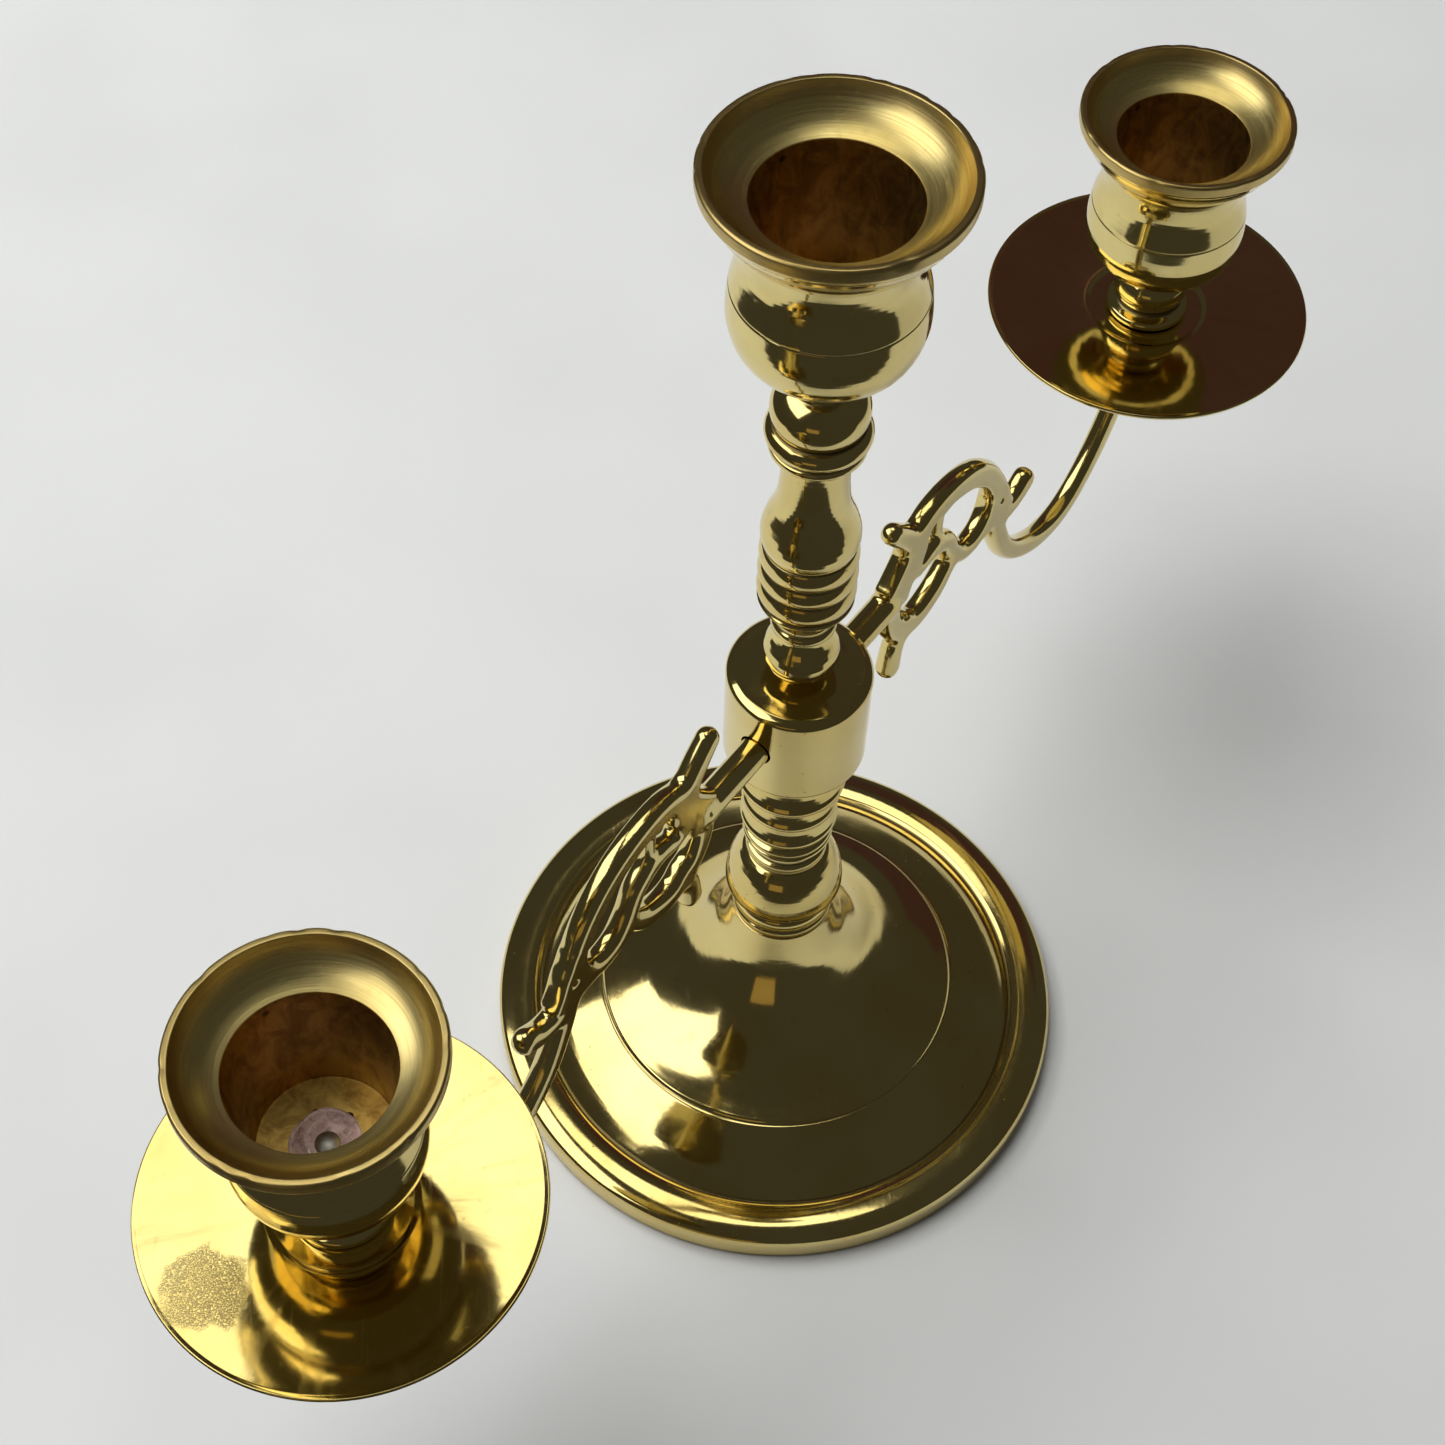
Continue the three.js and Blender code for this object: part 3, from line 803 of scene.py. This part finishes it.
class Finish:
    """A material built from nodes, for a piece turned or cast about one upright axis."""

    def __init__(self, name, axis=(0.0, 0.0), base=0.0):
        self.material = bpy.data.materials.new(name)
        self.material.use_nodes = True
        self.tree = self.material.node_tree
        self.tree.nodes.clear()
        self.place = self.node("ShaderNodeTexCoord", output="Object")
        shift = self.node(
            "ShaderNodeVectorMath",
            {"operation": "SUBTRACT"},
            {0: self.place, 1: (axis[0] * MM, axis[1] * MM, base * MM)},
        )
        self.local = self.node(
            "ShaderNodeVectorMath", {"operation": "SCALE"}, {0: shift, "Scale": 1 / MM}
        )

    def node(self, kind, settings=None, sockets=None, output=0):
        made = self.tree.nodes.new(kind)
        for key, value in (settings or {}).items():
            if key == "stops":
                ramp = made.color_ramp
                while len(ramp.elements) < len(value):
                    ramp.elements.new(1.0)
                for element, (position, shade) in zip(ramp.elements, value):
                    element.position = position
                    element.color = (*shade, 1.0) if isinstance(shade, tuple) else (shade,) * 3 + (1.0,)
            else:
                setattr(made, key, value)
        for key, value in (sockets or {}).items():
            self.feed(made.inputs[key], value)
        return Value(self, made.outputs[output])

    def feed(self, socket, value):
        if isinstance(value, Value):
            self.tree.links.new(value.socket, socket)
        elif isinstance(value, tuple) and len(value) == 3 and socket.type == "RGBA":
            socket.default_value = (*value, 1.0)
        else:
            socket.default_value = value

    def mix(self, share, first, second):
        """A colour between two others."""
        return self.node(
            "ShaderNodeMix", {"data_type": "RGBA"}, {0: share, 6: first, 7: second}, output=2
        )

    def between(self, value, low, high):
        """0 below low, 1 above high, smooth between."""
        return self.node(
            "ShaderNodeMapRange",
            {"interpolation_type": "SMOOTHSTEP"},
            {"Value": value, "From Min": low, "From Max": high, "To Min": 0.0, "To Max": 1.0},
        )

    def noise(self, scale, detail=3.0, rough=0.55, stretch=(1.0, 1.0, 1.0), vector=None, twist=0.0):
        spread = self.node(
            "ShaderNodeVectorMath",
            {"operation": "MULTIPLY"},
            {0: vector or self.local, 1: tuple(scale * s for s in stretch)},
        )
        return self.node(
            "ShaderNodeTexNoise",
            {},
            {"Vector": spread, "Scale": 1.0, "Detail": detail, "Roughness": rough, "Distortion": twist},
        )

    def specks(self, scale, size):
        """1 inside scattered dots, 0 outside."""
        spread = self.node(
            "ShaderNodeVectorMath", {"operation": "SCALE"}, {0: self.local, "Scale": scale}
        )
        gap = self.node(
            "ShaderNodeTexVoronoi", {"feature": "F1"}, {"Vector": spread, "Scale": 1.0, "Randomness": 1.0}
        )
        return 1.0 - self.between(gap, size * 0.6, size)

    def round_axis(self):
        """Distance from the axis, height and angle, in millimetres and turns."""
        parts = self.tree.nodes.new("ShaderNodeSeparateXYZ")
        self.feed(parts.inputs[0], self.local)
        x, y, z = (Value(self, parts.outputs[k]) for k in range(3))
        flat = self.node("ShaderNodeCombineXYZ", {}, {"X": x, "Y": y, "Z": 0.0})
        distance = self.node("ShaderNodeVectorMath", {"operation": "LENGTH"}, {0: flat}, output="Value")
        angle = self.node("ShaderNodeMath", {"operation": "ARCTAN2"}, {0: y, 1: x})
        return distance, z, angle

    def lathe_marks(self, distance, height, angle, fine):
        """Fine rings left by a turning tool, running a little uneven round the piece."""
        track = self.node(
            "ShaderNodeCombineXYZ", {}, {"X": distance * fine, "Y": height * fine, "Z": angle * 0.35}
        )
        return self.node(
            "ShaderNodeTexNoise", {}, {"Vector": track, "Scale": 1.0, "Detail": 4.0, "Roughness": 0.7}
        )

    def scratches(self, scale, lean):
        """Thin wandering lines from handling and wiping."""
        turned_place = self.node(
            "ShaderNodeVectorRotate", {"rotation_type": "EULER_XYZ"}, {"Vector": self.local, "Rotation": lean}
        )
        line = self.noise(scale, 2.0, 0.5, (1.0, 0.06, 1.0), vector=turned_place)
        return self.between(line, 0.655, 0.7)

    def mark(self, name):
        return self.node("ShaderNodeAttribute", {"attribute_name": name}, output="Fac")

    def finish(self, colour, roughness, height, metallic=1.0, strength=0.2, reach=0.05, **fixed):
        """Ends the material: height is in tenths of a millimetre and feeds the bump."""
        bump = self.node(
            "ShaderNodeBump", {}, {"Strength": strength, "Distance": reach * MM, "Height": height}
        )
        shader = self.tree.nodes.new("ShaderNodeBsdfPrincipled")
        for key, value in {
            "Base Color": colour, "Roughness": roughness, "Metallic": metallic, "Normal": bump, **fixed
        }.items():
            self.feed(shader.inputs[key], value)
        end = self.tree.nodes.new("ShaderNodeOutputMaterial")
        self.tree.links.new(shader.outputs[0], end.inputs["Surface"])
        return self.material


BRASS = (0.76, 0.63, 0.27)
BRASS_WARM = (0.70, 0.54, 0.19)
BRASS_DEEP = (0.46, 0.31, 0.11)
# Near-black brown: used for the darkening in grooves and hollows, and for dark specks and pits
DARK_BROWN = (0.06, 0.035, 0.012)
BORE_BROWN = (0.62, 0.42, 0.12)
BORE_DARK = (0.30, 0.18, 0.05)


def polished_brass(name, axis=(0.0, 0.0), rings=True, rough=0.085):
    """Lacquered polished brass: mirror bright, with faint tool rings, wipe marks and age."""
    f = Finish(name, axis)
    cloud = f.noise(0.045, 3.0)
    blotch = f.noise(0.16, 4.0, 0.6)
    colour = f.mix(f.between(cloud, 0.35, 0.72), BRASS, BRASS_WARM)
    colour = f.mix(f.between(blotch, 0.62, 0.78) * 0.35, colour, BRASS_DEEP)
    # Darkens and dulls the metal in grooves and hollows, by how hollow the profile is there
    groove_dark = f.between(f.mark("hollow") + (blotch - 0.5) * 0.25, 0.12, 0.42)
    colour = f.mix(groove_dark * 0.8, colour, DARK_BROWN)
    dots = f.specks(0.55, 0.1) * f.between(cloud, 0.5, 0.6)
    colour = f.mix(dots * 0.75, colour, DARK_BROWN)
    scuffs = f.scratches(0.8, (0.4, 0.2, 0.9)) * 0.5 + f.scratches(1.1, (0.1, 1.2, 2.1)) * 0.5
    haze = f.between(f.noise(0.09, 5.0, 0.65), 0.45, 0.75)
    roughness = rough + haze * 0.05 + scuffs * 0.08 + groove_dark * 0.3 + dots * 0.3
    height = f.noise(0.35, 2.0) * 0.6 + f.noise(2.2, 2.0) * 0.12 - scuffs * 0.05 - dots * 0.4
    if rings:
        distance, z, angle = f.round_axis()
        marks = f.lathe_marks(distance, z, angle, 2.6)
        height = height + marks * 0.12
        roughness = roughness + f.between(marks, 0.5, 0.75) * 0.02
    return f.finish(colour, roughness, height, strength=0.25, reach=0.06)


def pan_brass(name, axis, stain_at):
    """Thin pans: polished, wiped outward in faint streaks, with a dried wax stain."""
    f = Finish(name, axis)
    distance, z, angle = f.round_axis()
    cloud = f.noise(0.045, 3.0)
    blotch = f.noise(0.16, 4.0, 0.6)
    colour = f.mix(f.between(cloud, 0.35, 0.72), BRASS, BRASS_WARM)
    colour = f.mix(f.between(blotch, 0.62, 0.78) * 0.3, colour, BRASS_DEEP)
    ray_track = f.node("ShaderNodeCombineXYZ", {}, {"X": angle * 5.0, "Y": distance * 0.03, "Z": z * 0.0})
    rays = f.node(
        "ShaderNodeTexNoise", {}, {"Vector": ray_track, "Scale": 1.0, "Detail": 5.0, "Roughness": 0.65}
    )
    streaks = f.between(rays, 0.5, 0.68)
    away = f.node("ShaderNodeVectorMath", {"operation": "SUBTRACT"}, {0: f.local, 1: (*stain_at, 0.0)})
    parts = f.node("ShaderNodeVectorMath", {"operation": "MULTIPLY"}, {0: away, 1: (1.0, 1.0, 0.0)})
    reach = f.node("ShaderNodeVectorMath", {"operation": "LENGTH"}, {0: parts}, output="Value")
    edge = reach + (f.noise(0.25, 4.0) - 0.5) * 6.0
    stain = (1.0 - f.between(edge, 4.6, 6.2)) * f.between(f.noise(4.5, 3.0, 0.6), 0.4, 0.6)
    # Darkens and dulls the metal in grooves and hollows, by how hollow the profile is there
    groove_dark = f.between(f.mark("hollow") + (blotch - 0.5) * 0.25, 0.12, 0.42)
    colour = f.mix(groove_dark * 0.8, colour, DARK_BROWN)
    colour = f.mix(stain * 0.35, colour, (0.50, 0.44, 0.28))
    colour = f.mix(streaks * 0.2, colour, BRASS_DEEP)
    scuffs = f.scratches(0.8, (0.4, 0.2, 0.9)) * 0.5 + f.scratches(1.1, (0.1, 1.2, 2.1)) * 0.5
    roughness = 0.075 + streaks * 0.06 + scuffs * 0.08 + groove_dark * 0.3 + stain * 0.3
    height = f.noise(0.3, 2.0) * 0.5 + rays * 0.25 + stain * 0.5 - scuffs * 0.05
    return f.finish(colour, roughness, height, strength=0.25, reach=0.06)


def cup_brass(name, axis, seat):
    """Cups: polished belly, satin turned lip and funnel, dark heat-stained bore."""
    f = Finish(name, axis, seat)
    distance, z, angle = f.round_axis()
    mouth = CUP_HEIGHT - CUP_MOUTH_DROP
    inside = (1.0 - f.between(distance, 11.02, 11.25)) * f.between(z, 6.0, 6.6)
    upper = f.between(z, mouth - 0.3, mouth + 0.3)
    bore = inside * (1.0 - upper)
    funnel = f.between(z, mouth - 0.2, mouth + 0.1) * (1.0 - f.between(distance, 16.3, 16.7))
    lip = f.between(z, 29.2, 29.6)
    satin = f.node("ShaderNodeMath", {"operation": "MAXIMUM"}, {0: funnel, 1: lip})
    cloud = f.noise(0.05, 3.0)
    blotch = f.noise(0.2, 4.0, 0.6)
    marks = f.lathe_marks(distance, z, angle, 3.2)
    coarse = f.lathe_marks(distance, z, angle, 0.9)
    colour = f.mix(f.between(cloud, 0.35, 0.72), BRASS, BRASS_WARM)
    colour = f.mix(f.between(blotch, 0.6, 0.78) * 0.35, colour, BRASS_DEEP)
    colour = f.mix(satin * f.between(marks, 0.42, 0.7) * 0.35, colour, BRASS_DEEP)
    # Darkens and dulls the metal in grooves and hollows outside the bore, by how hollow the profile is there
    groove_dark = f.between(f.mark("hollow") + (blotch - 0.5) * 0.25, 0.12, 0.42) * (1.0 - bore)
    colour = f.mix(groove_dark * 0.7, colour, DARK_BROWN)
    stain = f.noise(0.28, 5.0, 0.7, (1.0, 1.0, 0.6), twist=0.6)
    depth = f.between(z, 26.5, 9.0)
    bore_colour = f.mix(f.between(stain, 0.34, 0.66), BORE_BROWN, BORE_DARK)
    bore_colour = f.mix(f.between(coarse, 0.55, 0.8) * 0.4, bore_colour, BRASS_DEEP)
    pits = f.specks(0.16, 0.13) * bore * f.between(z, 14.0, 18.0)
    colour = f.mix(bore, colour, f.mix(pits * 0.85, bore_colour, DARK_BROWN))
    colour = f.mix(lip * 0.45, colour, BRASS_DEEP)
    scuffs = f.scratches(0.8, (0.4, 0.2, 0.9)) * 0.5 + f.scratches(1.1, (0.1, 1.2, 2.1)) * 0.5
    haze = f.between(f.noise(0.1, 5.0, 0.65), 0.45, 0.75)
    roughness = (
        0.085 + haze * 0.05 + scuffs * 0.1 + groove_dark * 0.3
        + satin * (0.2 + f.between(marks, 0.4, 0.7) * 0.12) + bore * (0.25 + depth * 0.1)
    )
    height = (
        f.noise(0.35, 2.0) * 0.5 + marks * (0.12 + satin * 0.7) + coarse * bore * 0.8
        + f.noise(1.6, 4.0) * bore * 0.8 - scuffs * 0.1 - pits * 1.5
    )
    return f.finish(colour, roughness, height, strength=0.3, reach=0.07)


def steel(name, axis=(0.0, 0.0)):
    """Plain steel for the nuts, studs and rod, dulled by handling."""
    f = Finish(name, axis)
    cloud = f.noise(0.3, 4.0, 0.6)
    rust = f.between(f.noise(0.5, 5.0, 0.7), 0.58, 0.72)
    colour = f.mix(f.between(cloud, 0.3, 0.7), (0.42, 0.41, 0.39), (0.28, 0.27, 0.25))
    colour = f.mix(rust * 0.6, colour, (0.16, 0.08, 0.04))
    roughness = 0.32 + cloud * 0.15 + rust * 0.3
    height = f.noise(1.5, 4.0) * 0.6 + rust * 0.4
    return f.finish(colour, roughness, height, strength=0.3)


def old_wax(name, axis):
    """Pinkish grey wax with dust and soot worked into it."""
    f = Finish(name, axis)
    cloud = f.noise(0.5, 5.0, 0.65)
    soot = f.between(f.noise(1.2, 5.0, 0.7), 0.5, 0.68)
    colour = f.mix(f.between(cloud, 0.35, 0.65), (0.34, 0.22, 0.19), (0.20, 0.12, 0.10))
    colour = f.mix(soot * 0.7, colour, (0.06, 0.035, 0.03))
    roughness = 0.38 + soot * 0.25
    height = cloud * 1.2 + f.noise(3.0, 3.0) * 0.4
    return f.finish(colour, roughness, height, metallic=0.0, strength=0.5, reach=0.12)


# ---------------------------------------------------------------------------------------
# Branches
# ---------------------------------------------------------------------------------------

seats = {}
for holder in HOLDERS:
    cup_node = f"{holder}_cup"
    at = middle(cup_node)
    seat, rim = bottom(cup_node), top(cup_node)
    hole = ROD_HOLE if holder == "center" else STUD_HOLE
    floor = rim - CUP_FLOOR_DROP
    cup = turned(f"{holder}_candle_cup", cup_rows(seat, rim, hole), at, sides=192, step=0.45, ease=0.15)
    nicked(cup, at, rim, seed=11 + HOLDERS.index(holder), count=16)
    pocket = hex_solid("pocket", POCKET_FLATS, floor - POCKET_DEPTH, floor + 1.5, at, ease=0.05)
    keep(carve(cup, pocket), cup_node, "satin_brass")
    keep(
        hex_solid(
            f"{holder}_pocket_nut", 8.0, bottom(f"{cup_node}_nut"), top(f"{cup_node}_nut"), at, hole
        ),
        f"{cup_node}_nut",
        "plain_steel",
    )
    wax = wax_left(f"{holder}_wax", at, floor, seed=31 + HOLDERS.index(holder))
    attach(wax, frame["nodes"][cup_node]["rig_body"])
    seats[holder] = (at, seat, rim, wax)

arm_points, arm_faces = scroll_arm()
for side in SIDES:
    facing = 1 if side == "right" else -1
    points = arm_points * (facing, facing, 1)
    node = f"{side}_arm"
    keep(mesh_piece(f"{side}_scroll_arm", points, arm_faces, crease=60), node, "polished_brass")
    at = middle(f"{side}_cup_stud")
    low, high = bottom(f"{side}_cup_stud"), top(f"{side}_cup_stud")
    keep(
        threaded(f"{side}_stud_thread", STUD_R, low, high, low + 6, high - 8, at),
        f"{side}_cup_stud",
        "plain_steel",
    )
    pan_low, pan_high = bottom(f"{side}_drip_pan"), top(f"{side}_drip_pan")
    pan_rows = [
        (STUD_HOLE, pan_low), (10.0, pan_low), (10.9, pan_low + 0.4, 0.05), (27.4, pan_low + 1.15, -0.1),
        (28.05, pan_high - 0.75), (28.2, pan_high - 0.3, 0.05), (28.0, pan_high, 0.06),
        (27.4, pan_high - 0.12), (10.7, pan_low + 1.3, 0.1), (9.8, pan_low + 0.9),
        (STUD_HOLE, pan_low + 0.9),
    ]
    keep(
        turned(f"{side}_pan", pan_rows, at, sides=256, step=0.7, ease=0.12),
        f"{side}_drip_pan",
        "polished_brass",
    )
    sp_low, sp_high = bottom(f"{side}_cup_spacer"), top(f"{side}_cup_spacer")
    spacer_rows = [
        (6.9, sp_low), (6.95, sp_low + 1.5, 0.35), (5.7, sp_low + 2.1), (5.4, sp_low + 2.6, -0.05),
        (4.5, sp_high - 2.0, 1.5), (5.05, sp_high - 1.2), (5.05, sp_high),
    ]
    keep(
        turned(f"{side}_spacer", with_hole(spacer_rows, STUD_HOLE), at, sides=96, step=0.35, ease=0.12),
        f"{side}_cup_spacer",
        "polished_brass",
    )

# ---------------------------------------------------------------------------------------
# Finishes on pieces
# ---------------------------------------------------------------------------------------


STAIN_AT = {"left": (-20.5, 5.8), "right": (15.0, 12.0)}   # from the middle of each pan


def coat(node, material):
    piece = pieces[node]
    piece.data.materials.clear()
    piece.data.materials.append(material)


stem_brass = polished_brass("stem_brass")
foot_brass = polished_brass("foot_brass")
for node in ("stem_collar", "lower_stem", "arm_hub", "upper_stem", "ball_knop"):
    coat(node, stem_brass)
coat("base_foot", foot_brass)
inner_steel = steel("inner_steel")
for node in ("base_washer", "base_nut", "tie_rod"):
    coat(node, inner_steel)
for holder in HOLDERS:
    at, seat, rim, wax = seats[holder]
    coat(f"{holder}_cup", cup_brass(f"{holder}_cup_brass", at, seat))
    coat(f"{holder}_cup_nut", inner_steel)
    wax.data.materials.append(old_wax(f"{holder}_old_wax", at))
for side in SIDES:
    at = seats[side][0]
    coat(f"{side}_arm", polished_brass(f"{side}_arm_brass", at, rings=False, rough=0.11))
    coat(f"{side}_drip_pan", pan_brass(f"{side}_pan_brass", at, STAIN_AT[side]))
    coat(f"{side}_cup_spacer", stem_brass)
    coat(f"{side}_cup_stud", inner_steel)

# ---------------------------------------------------------------------------------------
# Floor, light and camera
# ---------------------------------------------------------------------------------------


def stage_material(name, colour, roughness=0.75):
    f = Finish(name)
    drift = f.noise(0.012, 2.0)
    tone = f.mix(f.between(drift, 0.3, 0.7), colour, tuple(c * 0.95 for c in colour))
    return f.finish(tone, roughness, f.noise(0.9, 3.0), metallic=0.0, strength=0.05)


def glow(name, colour, strength):
    """A finish that shines evenly."""
    material = bpy.data.materials.new(name)
    material.use_nodes = True
    tree = material.node_tree
    tree.nodes.clear()
    light = tree.nodes.new("ShaderNodeEmission")
    light.inputs["Color"].default_value = (*colour, 1.0)
    light.inputs["Strength"].default_value = strength
    end = tree.nodes.new("ShaderNodeOutputMaterial")
    tree.links.new(light.outputs[0], end.inputs["Surface"])
    return material


def studio_board(name, points, faces, material):
    """A piece of the studio, which isn't part of the candelabra. Its points are in metres."""
    mesh = bpy.data.meshes.new(name)
    mesh.from_pydata(points, [], faces)
    mesh.materials.append(material)
    board = bpy.data.objects.new(name, mesh)
    bpy.context.scene.collection.objects.link(board)
    board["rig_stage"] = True
    return board


def panel(name, centre, size, toward, material, turn=0.0):
    """A flat rectangle facing a point, turned in its own plane."""
    w, h = size[0] / 2, size[1] / 2
    board = studio_board(name, [(-w, -h, 0), (w, -h, 0), (w, h, 0), (-w, h, 0)], [(0, 1, 2, 3)], material)
    direction = Vector(toward) - Vector(centre)
    facing = direction.to_track_quat("Z", "Y").to_matrix().to_4x4()
    board.matrix_world = Matrix.Translation(centre) @ facing @ Matrix.Rotation(turn, 4, "Z")
    return board


LOOK = Vector((0.8238, 0.5668, 0.0))       # the way the camera looks, level
ACROSS = Vector((0.5668, -0.8238, 0.0))    # to the camera's right
UP = Vector((0.0, 0.0, 1.0))


def studio(across, ahead, up):
    """A point in the studio, across and ahead as the camera looks, and up from the floor."""
    return ACROSS * across + LOOK * ahead + UP * up


def seen_by(board, eye=False, gloss=False, light=False, shadow=False):
    """Chooses which rays meet a studio board."""
    board.visible_camera, board.visible_glossy = eye, gloss
    board.visible_diffuse, board.visible_shadow = light, shadow
    board.visible_transmission = board.visible_volume_scatter = False


floor_paint = stage_material("pale_floor", (0.66, 0.67, 0.67))
floor_board = panel("floor", studio(0, 0, -0.0005), (6.0, 6.0), studio(0, 0, 1), floor_paint)
seen_by(floor_board, eye=True, light=True)
# What the brass mirrors: a pale table top with the dark room beyond its edges.
table_top = panel(
    "table_top", studio(0.12, 0.335, -0.0004), (0.88, 0.88), studio(0.12, 0.335, 1), floor_paint,
    turn=math.atan2(LOOK.y, LOOK.x),
)
seen_by(table_top, gloss=True)


def backdrop_dome(radius, rows, turns):
    """A pale dome round the studio, behind everything the camera sees."""
    points = [
        (radius * math.cos(a) * math.cos(b), radius * math.sin(a) * math.cos(b), radius * math.sin(b) - 0.3)
        for b in np.linspace(-0.1, math.pi / 2 - 0.01, rows)
        for a in np.arange(turns) * 2 * math.pi / turns
    ]
    faces = [
        (i * turns + j, i * turns + (j + 1) % turns,
         (i + 1) * turns + (j + 1) % turns, (i + 1) * turns + j)
        for i in range(rows - 1) for j in range(turns)
    ]
    return studio_board("backdrop", points, faces, glow("backdrop", (0.62, 0.63, 0.64), 1.0))


seen_by(backdrop_dome(3.5, 12, 32), eye=True)

world = bpy.data.worlds.new("room")
bpy.context.scene.world = world
world.use_nodes = True
world.node_tree.nodes["Background"].inputs["Color"].default_value = (0.050, 0.047, 0.038, 1.0)
world.node_tree.nodes["Background"].inputs["Strength"].default_value = 1.0


def soft_light(name, spot, aim, size, watts, colour=(1.0, 1.0, 1.0)):
    lamp = bpy.data.lights.new(name, "AREA")
    lamp.shape = "RECTANGLE"
    lamp.size, lamp.size_y = size
    lamp.energy = watts
    lamp.color = colour
    lit = bpy.data.objects.new(name, lamp)
    bpy.context.scene.collection.objects.link(lit)
    lit.location = spot
    lit.rotation_euler = (Vector(aim) - Vector(spot)).to_track_quat("-Z", "Y").to_euler()
    lit.visible_glossy = False


soft_light("high_light", studio(-0.50, 0.15, 1.25), studio(0, 0, 0.1), (0.9, 0.9), 17, (1.0, 0.99, 0.97))
soft_light("sky_light", studio(-0.2, 0.9, 1.4), studio(0, 0, 0.1), (1.8, 1.8), 12, (0.95, 0.98, 1.0))


def bright_card(name, azimuth, rise, size, strength, colour=(1.0, 0.99, 0.96), far=1.6):
    """A glowing card that only the brass mirrors. Azimuth is from straight ahead, to the right."""
    a, b = math.radians(azimuth), math.radians(rise)
    spot = studio(math.sin(a) * math.cos(b) * far, math.cos(a) * math.cos(b) * far, math.sin(b) * far)
    card = panel(name, spot, size, studio(0, 0, 0.05), glow(name, colour, strength))
    seen_by(card, gloss=True)


bright_card("window_left", -100, 48, (1.5, 1.0), 2.3)
bright_card("pale_ceiling", -28, 79, (0.75, 0.75), 1.9, (1.0, 0.98, 0.86))
bright_card("warm_wall", -165, 8, (0.7, 0.35), 0.32, (1.0, 0.72, 0.30))
bright_card("brown_door", 18, 34, (1.3, 0.9), 0.05, (1.0, 0.52, 0.60))
bright_card("door_edge", 22, 40, (0.06, 0.9), 0.14, (1.0, 0.60, 0.45))

LENS_PITCH = 0.9530
LENS_ROLL = 0.0374
forward = LOOK * math.cos(LENS_PITCH) - UP * math.sin(LENS_PITCH)
upward = ACROSS.cross(forward)
right_axis = ACROSS * math.cos(LENS_ROLL) + upward * math.sin(LENS_ROLL)
up_axis = upward * math.cos(LENS_ROLL) - ACROSS * math.sin(LENS_ROLL)
lens = bpy.data.cameras.new("camera")
lens.sensor_width = 36.0
lens.lens = 60.687
lens.clip_start = 0.01
camera = bpy.data.objects.new("camera", lens)
bpy.context.scene.collection.objects.link(camera)
stand = Matrix((right_axis, up_axis, -forward)).transposed().to_4x4()
camera.matrix_world = Matrix.Translation((-0.19185, -0.11789, 0.40635)) @ stand
bpy.context.scene.camera = camera
bpy.context.scene.view_settings.view_transform = "Standard"

low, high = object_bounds()
